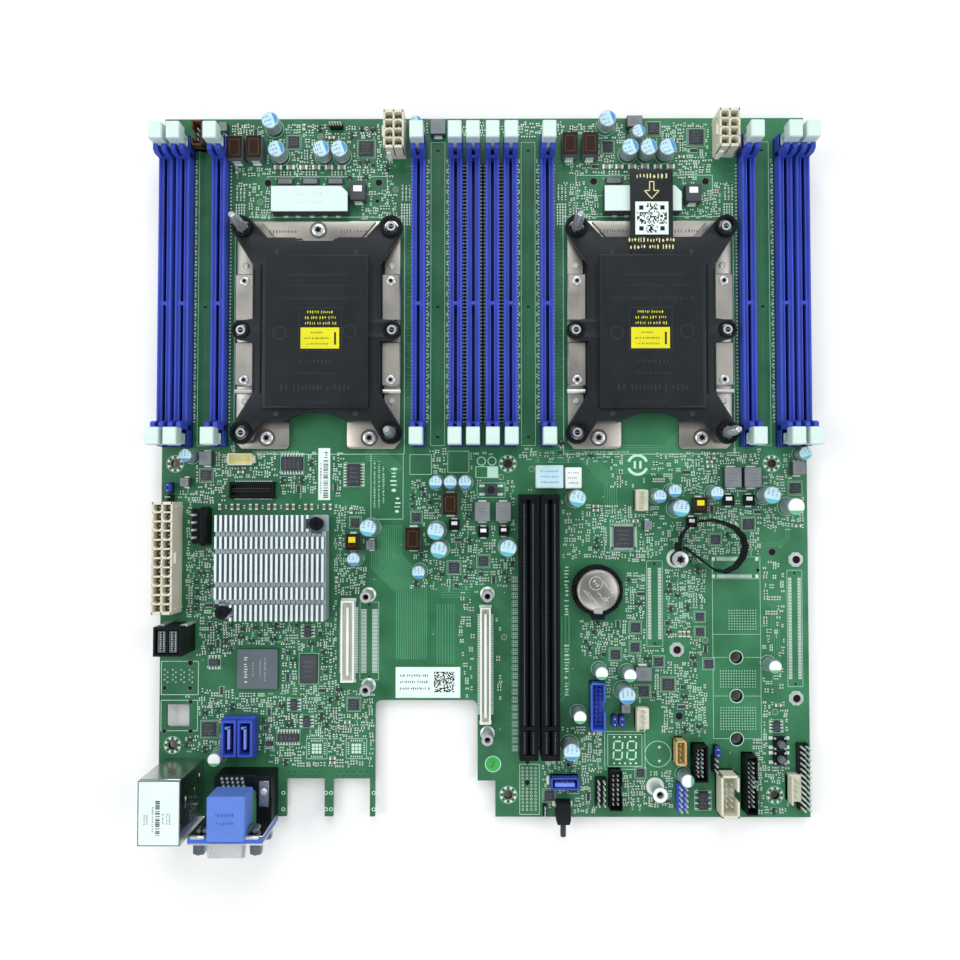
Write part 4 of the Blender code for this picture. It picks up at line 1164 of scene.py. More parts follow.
def make_cans():
    front, middle, rear = Shape(), Shape(), Shape()
    for x, y in FRONT_CANS:
        add_can(front, x, y, 4.0, 9.0, "sky", turn=20)
    add_can(front, 72.6, 155.6, 3.15, 7.8, "sky", turn=20)
    add_can(front, -31.8, 159.5, 3.15, 9.0, "sky", turn=20)
    for x, y in MIDDLE_CANS:
        add_can(middle, x, y, 4.0, 12.0, "teal", turn=-100)
    for x, y in MIDDLE_SMALL_CANS:
        add_can(middle, x, y, 3.15, 9.5, "sky", turn=-90)
    add_can(middle, 149.0, 4.4, 3.1, 7.6, "teal", turn=-70)
    for x, y in REAR_SMALL_CANS:
        add_can(rear, x, y, 3.15, 10.0, "leaf", "white", -90)
    add_can(rear, 92.9, -145.2, 3.15, 10.0, "leaf", "white", 0)
    add_can(rear, 65.2, -106.2, 4.0, 12.5, "sky", "aqua", -90)
    add_can(rear, 142.8, -20.2, 4.0, 12.0, "leaf", "white", -90)
    add_can(rear, 40.0, -131.5, 4.0, 13.0, "sky", "aqua", -90)
    front.make("capacitors_front", "sink_aluminium")
    middle.make("capacitors_middle", "sink_aluminium")
    rear.make("capacitors_rear", "sink_aluminium")


def add_choke(shape, x, y, width, depth, height, side, top, mark=None):
    """A moulded choke with a stepped lid, plain marks and solder feet."""
    shape.at(x, y)
    w, d = width / 2, depth / 2
    shape.block(-w, w, -d, d, 0.2, height, side, 0.2)
    shape.block(-w + 0.15, w - 0.15, -d + 0.15, d - 0.15, height - 0.2, height + 0.12, top, 0.12)
    if top == "brown":
        add_frame(shape, -w + 1.5, w - 1.5, -d + 1.9, d - 1.9, 0.22, "walnut", height + 0.11)
    elif not mark:
        for row in range(3):
            add_words(shape, 0.0, (row - 1) * depth * 0.16, width * 0.5, 0.5, side, 0, height + 0.1, row + 7)
    if mark:
        shape.block(-w * 0.55, w * 0.55, -d * 0.05, d * 0.62, height + 0.1, height + 0.2, mark, 0.04)
    shape.pair_y(-w * 0.55, w * 0.55, d - 0.4, d + 0.7, SUNK, 0.35, "solder", 0.1)
    shape.pair_y(-w * 0.5, w * 0.5, d - 0.1, d + 0.12, 0.2, height * 0.55, "solder")
    claim(x, y, width + 0.6, depth + 1.4)


BROWN_CHOKES = [(-117.0, 148.6, 7.4, 11.0, 7.0), (-108.0, 148.8, 7.4, 11.0, 7.0),
                (40.6, 150.0, 7.4, 11.0, 7.0), (50.2, 150.0, 7.4, 11.0, 7.0),
                (-15.6, -19.0, 7.3, 10.4, 6.5), (-33.0, -35.2, 7.2, 10.8, 6.5)]
GREY_CHOKES = [(-21.6, 159.6, 7.3, 7.3), (71.5, 162.0, 7.3, 5.4), (-130.6, 2.4, 6.0, 6.6),
               (-0.6, -22.6, 7.3, 9.2), (9.2, -22.6, 7.3, 9.2), (116.5, -6.6, 8.0, 9.6),
               (125.8, -6.6, 8.0, 9.6), (147.4, -2.4, 6.2, 6.2), (74.4, -98.0, 7.6, 6.6),
               (-140.3, -8.8, 4.2, 4.2), (-52.8, -38.2, 4.4, 4.4), (66.0, -114.0, 4.2, 4.2),
               (76.8, -29.0, 3.8, 4.4), (-125.0, -60.5, 5.0, 5.0), (-123.6, 159.8, 4.0, 4.5)]
MARKED_BLOCKS = [(-13.8, -28.8, 5.0, 5.0), (-0.2, -32.2, 5.0, 5.0), (9.4, -31.8, 4.6, 4.4),
                 (115.0, -17.3, 5.2, 5.2), (124.6, -17.3, 5.2, 5.2), (97.6, -27.6, 4.8, 4.8)]


def make_chokes():
    shape = Shape()
    for x, y, width, depth, height in BROWN_CHOKES:
        add_choke(shape, x, y, width, depth, height, "slate", "brown")
    for x, y, width, depth in GREY_CHOKES:
        add_choke(shape, x, y, width, depth, 4.0, "ferrite_dark", "ferrite")
    for x, y, width, depth in MARKED_BLOCKS:
        add_choke(shape, x, y, width, depth, 2.0, "ink", "black", "white")
    for x, y, width, depth in ((-61.4, -36.8, 6.0, 7.8), (101.0, -19.6, 6.2, 7.4)):
        add_choke(shape, x, y, width, depth, 5.0, "ferrite_dark", "brown", "yellow")
    for x, y in ((-59.4, 128.4), (98.8, 127.4)):
        add_choke(shape, x, y, 7.4, 8.4, 5.0, "ferrite_dark", "ferrite_dark", "white")
    shape.make("chokes")


def make_voltage_blocks():
    """The two long coupled chokes with a pale chamfered lid, and the power stages behind them."""
    lids, stages = Shape(), Shape()
    for x in (-81.8, 74.7):
        lids.at(x, 124.2)
        corner = [(-18.0, -6.0), (18.0, -6.0), (18.0, 2.9), (14.9, 6.0), (-18.0, 6.0)]
        lids.prism(corner, 0.3, 6.4, "ferrite_dark")
        narrow = [(px * 0.99, py * 0.975) for px, py in corner]
        lids.loft(levels([(corner, 6.4), (corner, 6.7), (narrow, 6.9)]), "mint")
        for dx in (-12.4, -6.6, 0.0, 6.2, 12.4):
            lids.pair_y(dx - 1.1, dx + 1.1, 5.6, 6.9, SUNK, 0.5, "solder", 0.12)
        for row in range(2):
            add_words(lids, 0.5, 1.8 - row * 3.6, 12.6, 1.7, "aqua", z=6.9, seed=101 + row)
        claim(x, 124.2, 38, 15)
        for i in range(3):
            cx = x - 12.8 + i * 12.0
            stages.at(cx, 134.8).block(-3.9, 3.9, -1.7, 1.5, 0.05, 1.0, "chip", 0.15)
            stages.block(-3.3, 3.3, -1.2, 1.1, 0.98, 1.04, "ferrite", 0.02)
            for p in range(8):
                stages.block(-3.6 + p, -3.2 + p, -2.2, -1.6, SUNK, 0.2, "solder")
                stages.block(-3.6 + p, -3.2 + p, 1.4, 2.0, SUNK, 0.2, "solder")
            stages.disc(-4.8, 1.4, 0.3, 0.04, "silk", 8, 0)
            claim(cx, 134.8, 9, 5)
    lids.make("coupled_chokes", "latch_white")
    stages.make("power_stages", "slot_black")


def add_marks(shape, width, depth, height, seed, colour="chip_mark"):
    """Plain strokes and a pin-one dot on a chip."""
    draw = random.Random(seed)
    rows = max(1, min(4, int(depth / 1.6)))
    for row in range(rows):
        y = depth * 0.5 - (row + 1) * depth / (rows + 1)
        add_words(shape, 0, y, width * draw.uniform(0.45, 0.7), min(0.8, depth * 0.13), colour, z=height,
                  seed=seed + row)
    shape.turned(-width * 0.36, -depth * 0.36, [(0.22, height - 0.01), (0.22, height + 0.03)], colour, 10)


def add_flat_chip(chips, marks, x, y, size, pins, seed):
    """A leadless package with pads on all four sides and a printed frame."""
    height, half = 0.9, size / 2
    chips.at(x, y).block(-half, half, -half, half, 0.05, height, "chip", 0.1)
    for i in range(pins):
        along = (i - (pins - 1) / 2) / pins * size
        chips.pair(half - 0.15, half + 0.35, along - 0.13, along + 0.13, SUNK, 0.18, "solder")
        chips.pair_y(along - 0.13, along + 0.13, half - 0.15, half + 0.35, SUNK, 0.18, "solder")
    add_marks(chips, size, size, height, seed)
    half += 0.8
    add_frame(marks.at(x, y), -half, half, -half, half, 0.15)
    claim(x, y, size + 1.8, size + 1.8)


def add_leaded_chip(chips, marks, x, y, width, depth, pins, turn=0, seed=1, sides=2):
    """A package with gull-wing leads along its left and right sides, or along all four."""
    chips.at(x, y, TOP, turn)
    height, w, d = 1.5, width / 2 - 0.35, depth / 2
    rings = ((w - 0.12, d - 0.12, 0.2), (w, d, height * 0.55), (w - 0.15, d - 0.15, height))
    chips.loft(levels([(rectangle(-a, a, -b, b, 0.15), z) for a, b, z in rings]), "chip")
    pitch = (depth - 0.6) / max(1, pins - 1) if sides == 2 else (min(width, depth) - 1.2) / (pins - 1)
    thin = min(0.34, pitch * 0.27)
    for i in range(pins):
        at = (i - (pins - 1) / 2) * pitch
        chips.pair(w - 0.1, w + 0.45, at - thin, at + thin, 0.45, 0.7, "solder")
        chips.pair(w + 0.35, w + 1.5, at - thin, at + thin, SUNK, 0.16, "solder")
        chips.pair(w + 0.3, w + 0.45, at - thin, at + thin, 0.0, 0.7, "solder")
        for side in (-1, 1):
            if sides == 4:
                chips.block(at - thin, at + thin, *mirror(side, d - 0.1, d + 0.45), 0.45, 0.7, "solder")
                chips.block(at - thin, at + thin, *mirror(side, d + 0.35, d + 1.1), SUNK, 0.16, "solder")
    add_marks(chips, width, depth, height, seed)
    marks.at(x, y, TOP, turn).disc(-w - 0.6, d + 0.8, 0.28, 0.04, "silk", 8, 0)
    past = 1.6 if sides == 4 else 0.5
    add_frame(marks, -w - 1.6, w + 1.6, -d - past, d + past, 0.15)
    across, along = (depth, width) if turn else (width, depth)
    claim(x, y, across + 3.4, along + 2.0)


FLAT_CHIPS = [(-90.7, 153.8, 5.2), (-56.0, 150.5, 7.0), (101.3, 155.8, 7.0), (59.3, 151.2, 4.6),
              (81.0, 160.0, 5.4), (-131.3, -5.5, 5.0), (-31.8, -25.2, 4.0), (-60.6, -27.8, 4.0),
              (-14.0, -49.0, 5.0), (-0.2, -46.0, 4.6), (124.6, -28.5, 5.0), (109.0, -35.8, 4.4),
              (146.8, -11.6, 5.0), (75.0, -106.8, 4.6), (82.0, -93.0, 4.0), (86.4, -103.6, 5.4),
              (71.2, -77.0, 4.4), (71.0, -86.2, 4.0), (61.8, -89.6, 4.4), (-128.8, -124.6, 6.6),
              (-61.0, -113.0, 5.0), (30.6, -155.2, 4.6), (41.8, -151.8, 3.6), (73.2, -144.6, 3.6),
              (101.4, -72.0, 3.6), (101.4, -79.0, 3.6), (105.4, -94.0, 4.0)]
LEADED_CHIPS = [(-90.6, 0.0, 7.4, 10.0, 8, 90), (-61.3, -5.3, 7.2, 10.2, 8, 0),
                (-126.7, -93.4, 3.9, 4.9, 4, 90), (-82.7, -79.0, 4.0, 5.0, 4, 0),
                (-89.0, -113.2, 4.0, 5.0, 4, 0), (-83.0, -121.0, 4.0, 5.0, 4, 0),
                (-91.6, -128.4, 4.6, 9.9, 8, 90), (136.8, -123.0, 3.9, 5.0, 4, 0),
                (102.3, -157.4, 5.2, 8.2, 4, 0), (-100.4, -131.0, 3.0, 3.0, 3, 90)]


def make_chips():
    chips, marks = Shape(), Shape()
    for number, (x, y, size) in enumerate(FLAT_CHIPS):
        add_flat_chip(chips, marks, x, y, size, max(5, int(size * 1.6)), number * 9)
    for number, (x, y, width, depth, pins, turn) in enumerate(LEADED_CHIPS):
        add_leaded_chip(chips, marks, x, y, width, depth, pins, turn=turn, seed=300 + number * 9)
    add_leaded_chip(chips, marks, 65.8, -34.6, 10.0, 10.0, 20, seed=501, sides=4)
    chips.at(-106.0, -96.3).block(-9.6, 9.6, -9.4, 9.4, 0.4, 0.9, "track_dark", 0.1)
    chips.block(-9.5, 9.5, -9.3, 9.3, 0.85, 1.9, "slate", 0.2)
    for number, (dx, length, height) in enumerate(((-5.4, 13.0, 1.6), (-2.0, 7.0, 0.8), (1.4, 9.0, 0.8),
                                                   (3.6, 11.0, 1.0))):
        add_words(chips, dx, 0.0, length, height, "silk" if number == 0 else "can", 90, 1.9, 520 + number)
    claim(-106.0, -96.3, 21, 21)
    chips.at(-82.2, -96.4).block(-3.9, 3.9, -6.5, 6.5, 0.3, 1.2, "ferrite_dark", 0.15)
    add_marks(chips, 7.0, 11.0, 1.2, 540, "chip_mark")
    claim(-82.2, -96.4, 9.5, 14.5)
    marks.at(-82.2, -96.4)
    add_frame(marks, -4.6, 4.6, -7.2, 7.2, 0.18)
    chips.make("chips", "slot_black")
    marks.make("chip_outlines")


# ---------------------------------------------------------------- headers and small connectors

def add_header(shape, x, y, columns, rows, height, colour, tip, pitch_x=PIN_STEP, pitch_y=PIN_STEP):
    """A bare pin header: one shrouding strip per column pair and tall square pins."""
    shape.at(x, y)
    wide, deep = columns * pitch_x / 2, rows * pitch_y / 2
    shape.block(-wide, wide, -deep, deep, 0.1, height, colour, 0.3)
    for row in range(rows):
        for column in range(columns):
            px, py = (column - (columns - 1) / 2) * pitch_x, (row - (rows - 1) / 2) * pitch_y
            shape.block(px - 0.75, px + 0.75, py - 0.75, py + 0.75, height - 0.1, height + 0.25, colour, 0.2)
            add_pin(shape, px, py, 0.5, tip, "solder")
            shape.turned(px, py, [(0.4, -3.0), (0.6, -2.1)], "solder", 8)
    claim(x, y, 2 * wide + 1, 2 * deep + 1)


def add_box_header(shape, x, y, width, depth, height, columns, rows, colour, pitch=2.0, notch=0, wall=0.9,
                   floor=2.4, inside=None, pins="solder"):
    """A shrouded header; notch is the side its key gap is on, or 0."""
    shape.at(x, y)
    w, d = width / 2, depth / 2
    gap = 2.2
    shape.block(-w, w, -d, d, 0.1, floor, colour)
    shape.block(-w + wall * 0.9, w - wall * 0.9, -d + wall * 0.9, d - wall * 0.9, floor - 0.1, floor + 0.05,
                inside or colour)
    shape.pair_y(-w, w, d - wall, d, 0.1, height, colour, 0.2)
    for side in (-1, 1):
        for y0, y1 in ((-d, -gap), (gap, d)) if side == notch else ((-d, d),):
            shape.block(*mirror(side, w - wall, w), y0, y1, 0.1, height, colour, 0.2)
    for row in range(rows):
        for column in range(columns):
            px, py = (column - (columns - 1) / 2) * pitch, (row - (rows - 1) / 2) * pitch
            add_pin(shape, px, py, floor - 0.3, height - 1.2, pins, min(0.32, pitch * 0.16))
            shape.turned(px, py, [(0.35, -3.0), (0.5, -2.1)], "solder", 8)
    claim(x, y, width + 0.8, depth + 0.8)


def add_jumper(shape, x, y):
    """A shunt over two pins, with a slot across its top."""
    height = 5.4
    shape.at(x, y).block(-1.2, 1.2, -2.5, 2.5, 0.1, 2.4, "black", 0.3)
    shape.pair(0.35, 1.15, -2.4, 2.4, 2.2, height, "blue", 0.3)
    shape.pair_y(-1.15, 1.15, 1.6, 2.4, 2.2, height, "blue", 0.3)
    # The core between the shunt's walls is the darker blue, painted shade.
    shape.block(-0.5, 0.5, -1.7, 1.7, 2.2, height - 0.9, "blue_deep")
    for py in (-1.27, 1.27):
        add_pin(shape, 0.0, py, 2.0, height + 0.5, "solder", 0.3)
    claim(x, y, 3.4, 5.8)


def make_headers():
    dark, pale, blue = Shape(), Shape(), Shape()
    add_box_header(blue, 52.7, -112.6, 6.8, 22.2, 7.6, 2, 9, "royal", 2.0, notch=1, wall=0.8, inside="blue",
                   pins="royal")
    # Its floor is the darker blue, painted shade inside the shroud.
    add_box_header(blue, 37.4, -147.9, 12.8, 5.4, 6.4, 4, 1, "blue", 2.4, wall=0.7, inside="blue_deep")
    blue.block(-4.6, 4.6, -1.5, 0.3, 2.3, 5.9, "blue_pale", 0.25)
    blue.block(-8.0, -6.8, -2.0, 2.0, 0.05, 0.9, "white", 0.2)
    add_header(blue, 91.9, -155.0, 2, 5, 3.0, "blue", 9.0)
    for x, y in ((60.6, -119.8), (64.0, -119.8), (108.2, -133.8), (-147.6, -11.4)):
        add_jumper(blue, x, y)
    blue.make("blue_headers", "socket_blue")
    add_header(dark, 54.3, -152.6, 2, 5, 2.4, "black", 8.4)
    add_header(dark, -70.2, 161.0, 5, 1, 2.4, "black", 6.0, 1.27)
    add_box_header(dark, 60.9, -151.2, 5.8, 18.0, 6.4, 2, 7, "black", 2.2, notch=1, wall=0.5)
    add_box_header(dark, 99.8, -138.6, 6.4, 16.4, 7.6, 2, 7, "black", 2.0, notch=-1, wall=0.7)
    add_box_header(dark, 122.7, -148.0, 5.2, 26.4, 8.8, 2, 10, "black", 2.2, notch=1, wall=0.6)
    add_header(dark, 148.3, -145.6, 2, 12, 2.5, "black", 9.0)
    add_header(dark, 107.3, -139.8, 1, 3, 2.5, "black", 8.0)
    add_header(dark, -147.6, -17.0, 1, 2, 2.5, "black", 8.0)
    add_header(dark, 28.4, -161.5, 1, 3, 2.5, "black", 6.0, 1.8, 1.8)
    add_header(dark, -134.6, -29.4, 1, 4, 3.2, "black", 9.0, PIN_STEP, 3.5)
    for row in range(4):
        add_pin(dark, 0.0, (row - 1.5) * 3.5, 2.0, 9.2, "solder", 0.5)
    dark.block(-2.2, 6.0, -8.2, 8.2, 0.1, 3.0, "black", 0.3)
    dark.block(2.6, 6.2, -9.2, 9.2, 0.1, 8.2, "black", 1.2)
    claim(-132.0, -29.4, 11, 20)
    dark.make("black_headers", "slot_black")
    add_box_header(pale, 112.1, -152.2, 8.4, 19.2, 10.6, 2, 5, "cream", PIN_STEP, notch=1, wall=1.1)
    for x, y, height, deep in ((73.8, -118.8, 6.0, 9.8), (74.0, -17.3, 6.0, 9.8), (144.0, -150.6, 7.0, 12.4)):
        add_header(pale, x, y, 1, 4, 3.2, "cream", height + 3.0, 3.4)
        pale.block(-3.3, -2.4, -deep / 2, deep / 2, 0.1, height + 1.5, "cream", 0.3)
        pale.block(-3.3, 3.0, -deep / 2, deep / 2, 0.1, 3.4, "cream", 0.3)
        claim(x, y, 6, deep)
    add_box_header(pale, 90.6, -133.4, 5.0, 11.4, 7.8, 1, 4, "tan", 2.5, wall=0.8)
    add_box_header(pale, -134.7, 155.4, 5.4, 12.0, 7.6, 1, 3, "walnut", PIN_STEP, notch=-1, wall=0.8,
                   inside="ink")
    add_box_header(pale, -114.4, 2.0, 11.6, 5.6, 4.0, 5, 1, "cream", 1.6, wall=0.6, floor=1.2, inside="straw")
    pale.block(-6.6, -5.6, -1.8, 1.8, 0.05, 2.6, "cream", 0.2)
    pale.block(5.6, 6.6, -1.8, 1.8, 0.05, 2.6, "cream", 0.2)
    pale.make("pale_headers", "header_cream")


def add_mezzanine(shape, x, y, width, length, height, colour, pins, inside):
    """A fine-pitch board-to-board socket with a tongue and two contact rows, long along Y."""
    shape.at(x, y)
    w, d = width / 2, length / 2
    tray(shape, -w + 1.0, w - 1.0, -d, d, 0.1, height, 1.6, 0.8, colour, inside)
    shape.block(-0.5, 0.5, -d + 3.0, d - 3.0, 1.5, height - 0.3, colour, 0.15)
    pitch = (length - 7.0) / pins
    for i in range(pins):
        py = (i - (pins - 1) / 2) * pitch
        shape.pair(w - 1.1, w + 0.2, py - pitch * 0.28, py + pitch * 0.28, SUNK, 0.25, "solder")
        shape.pair(0.5, 0.72, py - pitch * 0.28, py + pitch * 0.28, 1.6, height - 0.7, "solder")
    shape.pair_y(-w + 0.6, w - 0.6, d - 0.8, d + 0.8, SUNK, 1.2, "solder", 0.2)
    claim(x, y, width + 1.4, length + 2.4)


def add_pad_rows(shape, marks, x, y, gap, length, pitch=0.65, tall=1.9):
    """An unfilled fine-pitch connector: two rows of tinned pads inside a printed frame."""
    shape.at(x, y)
    marks.at(x, y)
    count = int(length / pitch)
    for i in range(count):
        py = (i - (count - 1) / 2) * pitch
        for side in (-1, 1):
            middle = side * gap / 2
            shape.block(middle - tall / 2, middle + tall / 2, py - pitch * 0.27, py + pitch * 0.27, SUNK,
                        PAD_TOP, "solder")
    for side in (-1, 1):
        shape.disc(0.0, side * (length / 2 + 1.9), 0.55, 0.05, "hole", 12)
    half = gap / 2 + tall / 2 + 0.5
    add_frame(marks, -half, half, -length / 2 - 3.2, length / 2 + 3.2, 0.16)
    claim(x, y, 2 * half + 0.6, length + 7)


def make_mezzanines():
    shape, pads, marks = Shape(), Shape(), Shape()
    add_mezzanine(shape, -63.4, -83.0, 8.3, 37.8, 5.0, "white", 40, "cream")
    add_mezzanine(shape, 0.8, -94.2, 7.0, 54.0, 5.0, "white", 60, "cream")
    shape.make("mezzanine_sockets", "header_cream")
    black = Shape().at(-108.8, -12.5)
    tray(black, -10.4, 10.4, -3.4, 3.4, 0.1, 4.2, 1.6, 0.9, "black", "ink")
    black.block(-9.4, 9.4, -0.6, 0.6, 1.5, 3.8, "black", 0.15)
    black.block(-10.9, 10.9, -3.9, -3.2, 0.1, 2.2, "black", 0.2)
    black.block(-10.9, 10.9, 3.2, 3.9, 0.1, 2.2, "black", 0.2)
    for i in range(20):
        px = (i - 9.5) * 0.9
        black.pair_y(px - 0.2, px + 0.2, 0.6, 0.85, 1.6, 3.4, "slate")
        black.pair_y(px - 0.2, px + 0.2, 3.6, 4.5, SUNK, 0.25, "solder")
    claim(-108.8, -12.5, 23, 10)
    black.make("trusted_module_socket", "slot_black")
    add_pad_rows(pads, marks, -53.8, -83.4, 5.2, 30.0, 0.65, 2.6)
    add_pad_rows(pads, marks, 80.3, -65.8, 4.8, 33.6, 0.7, 1.6)
    add_pad_rows(pads, marks, 146.0, -77.4, 4.4, 48.0, 0.7, 1.6)
    for row, y in enumerate((-45.0, -53.0)):
        pads.at(118.2, y)
        for i in range(32 if row else 24):
            pads.block(-8.6 + i * 0.52, -8.3 + i * 0.52, -0.8, 0.8, SUNK, PAD_TOP, "solder")
        for side in (-1, 1):
            pads.block(side * 10.2 - 0.7, side * 10.2 + 0.7, -0.8, 0.8, SUNK, PAD_TOP, "solder")
    for x in (109.2, 129.0):
        pads.at(x, -50.2).disc(0, 0, 0.8, 0.05, "hole", 14)
    claim(118.6, -49.4, 24, 12)
    pads.make("unfilled_connector_pads")
    marks.make("unfilled_connector_print")


# ---------------------------------------------------------------- standoffs, labels, marks

STANDOFFS = [(-54.0, -61.6, 12.0), (1.7, -61.3, 12.0), (-54.0, -104.0, 12.0), (1.7, -126.3, 12.0)]
NUTS = [(146.7, -45.2), (146.3, -110.0), (90.6, -87.4)]
DARK_HOLES = [(135.7, -41.7, 1.6), (91.5, -118.3, 1.7), (-138.0, -93.8, 1.1), (-150.0, -105.5, 0.9),
              (-138.0, -105.5, 0.9), (-137.7, -112.0, 0.9), (-150.0, -125.6, 0.9), (-137.6, -125.6, 0.9),
              (26.2, -133.4, 0.9), (20.4, -139.6, 1.0), (-57.0, 37.0, 0.9), (39.6, -141.0, 0.8),
              (72.0, -145.0, 0.8), (-50.7, 125.4, 0.9)]
MOUNT_HOLES = [(-146.05, 0.0), (11.43, 0.0), (135.89, 0.0), (-146.05, -132.08), (11.43, -154.94),
               (135.89, -154.94)]
CARD_HOLES = [(118.4, -91.0), (118.4, -109.0), (118.4, -129.0)]


def make_standoffs():
    shape = Shape()
    for x, y, height in STANDOFFS:
        shape.at(x, y).turned(0, 0, [(3.1, 0.02), (3.1, 0.5), (2.7, 0.7), (2.7, height - 0.4),
                                     (2.4, height), (1.35, height), (1.25, height - 4.0)], "screw", 20,
                              cap="hole")
        shape.ring(0, 0, 2.75, 3.4, SUNK, 0.4, "solder", 24)
        claim(x, y, 7, 7)
    shape.at(80.0, -151.0).turned(0, 0, [(2.6, 0.1), (2.6, 10.6), (3.4, 10.8), (3.4, 11.6), (1.5, 11.6),
                                         (1.4, 8.0)], "screw", 24, cap="hole")
    shape.ring(0, 0, 1.9, 3.3, 11.5, 11.75, "white", 28)
    shape.ring(0, 0, 2.4, 4.2, SUNK, 0.05, "solder", 24)
    claim(80.0, -151.0, 8, 8)
    shape.at(90.4, -44.6).turned(0, 0, [(3.0, 0.1), (3.0, 7.6), (2.6, 7.9), (2.6, 8.6)], "screw", 24)
    add_screw(shape, 0, 0, 8.5, 3.8, 1.4, 28)
    shape.ring(0, 0, 3.0, 4.4, SUNK, 0.05, "solder", 24)
    claim(90.4, -44.6, 9, 9)
    for x, y in NUTS:
        shape.at(x, y).turned(0, 0, [(3.6, SUNK), (3.6, 0.05)], "silk", 8, start=0.39)
        shape.ring(0, 0, 1.85, 3.1, 0.04, 0.9, "screw", 24)
        shape.disc(0, 0, 1.9, 0.1, "hole", 20, 0.0)
        claim(x, y, 10, 10)
    shape.make("standoffs_and_nuts", "port_steel")


STRAP_LOOP = [(91.0, -38.0), (92.3, -33.2), (95.3, -29.6), (100.2, -27.4), (105.7, -27.0), (111.2, -28.2),
              (116.3, -30.6), (119.5, -34.2), (120.7, -38.8), (119.5, -43.6), (116.3, -47.8),
              (111.9, -50.2), (107.3, -49.4), (103.1, -46.4), (98.3, -42.8), (93.5, -39.4)]
STRAP_LOW, STRAP_WIDE, STRAP_THICK, STRAP_LIFT = 1.5, 5.1, 0.9, 2.2


def make_strap():
    """The flat tether, standing on edge in a loop from its clip on the card post round to the clip's eye."""
    sections, path = [], []
    last = len(STRAP_LOOP) - 1
    edges = zip(STRAP_LOOP, offset(STRAP_LOOP, STRAP_THICK / 2), offset(STRAP_LOOP, -STRAP_THICK / 2))
    for i, ((cx, cy), (ox, oy), (ix, iy)) in enumerate(edges):
        bow = math.sin(math.pi * i / last)
        low = STRAP_LOW + STRAP_LIFT * bow
        high = low + STRAP_WIDE
        dx, dy = (ix - ox) * bow, (iy - oy) * bow
        sections.append([(ox, oy, low), (ix, iy, low), (ix - dx, iy - dy, high), (ox - dx, oy - dy, high)])
        path.append(((cx - dx / 2) * MM, (cy - dy / 2) * MM, (TOP + (low + high) / 2) * MM))
    loop = Shape().loft(sections, "black").make("card_post_strap", "slot_black")
    clip = Shape().at(90.3, -41.4)
    clip.block(-0.8, 1.2, -0.6, 4.4, 1.4, 7.0, "black", 0.4)
    clip.ring(0.1, -3.2, 3.05, 3.6, 3.6, 6.2, "black", 24)
    clip.make("card_post_clip", "slot_black")


def make_hole_rings():
    """Tinned star pads round the screw holes, rings round the card holes, and the dark small holes."""
    shape, marks = Shape(), Shape()
    for x, y in MOUNT_HOLES:
        shape.at(x, y).ring(0, 0, 2.02, 2.35, SUNK, 0.05, "copper", 24)
        for spoke in range(8):
            a = math.radians(22.5 + spoke * 45)
            corners = ((2.7, -0.15), (3.8, -0.18), (3.8, 0.18), (2.7, 0.15))
            wedge = [(r * math.cos(a + d), r * math.sin(a + d)) for r, d in corners]
            shape.prism(wedge, SUNK, 0.08, "solder")
        # A near-black barrel lines each screw hole as painted shade, so the hole reads dark.
        shape.ring(0, 0, 1.85, 1.97, -TOP, 0.0, "hole", 24)
        marks.at(x, y).ring(0, 0, 3.95, 4.1, SUNK, INK_TOP, "silk", 32)
        claim(x, y, 9, 9)
    for x, y in CARD_HOLES:
        # A near-black barrel lines each card hole as painted shade, so the hole reads dark.
        marks.at(x, y).ring(0, 0, 2.42, 2.57, -TOP, 0.0, "hole", 32)
        marks.ring(0, 0, 2.62, 2.95, SUNK, 0.05, "hole", 32)
        marks.ring(0, 0, 2.95, 3.3, SUNK, 0.05, "silk", 32)
        claim(x, y, 8, 8)
    for x, y, r in DARK_HOLES:
        # The small holes are drawn as near-black discs, painted shade in place of a drilled bore.
        shape.at(x, y).disc(0, 0, r, 0.04, "hole", 20)
        shape.ring(0, 0, r, r + 0.35, SUNK, 0.05, "slate", 20)
        claim(x, y, 2 * r + 1, 2 * r + 1)
    for x, y in ((-103.0, 134.2), (-50.0, 134.3), (52.5, 134.7), (105.7, 134.6)):
        shape.at(x, y).disc(0, 0, 1.6, 0.04, "hole", 20)
        marks.at(x, y).ring(0, 0, 1.6, 2.0, SUNK, 0.05, "slate", 24)
        claim(x, y, 6, 6)
    for x, y in ((8.2, -6.3), (104.0, -83.0), (-78.0, 156.6), (-106.6, 125.0), (-42.0, 131.0), (22.6, -2.6),
                 (9.6, -81.6), (136.3, -116.4)):
        shape.at(x, y).disc(0, 0, 0.55, 0.06, "copper", 12)
        marks.at(x, y).ring(0, 0, 1.2, 1.35, SUNK, INK_TOP, "silk", 16)
        claim(x, y, 3, 3)
    shape.make("hole_pads")
    marks.make("hole_marks")


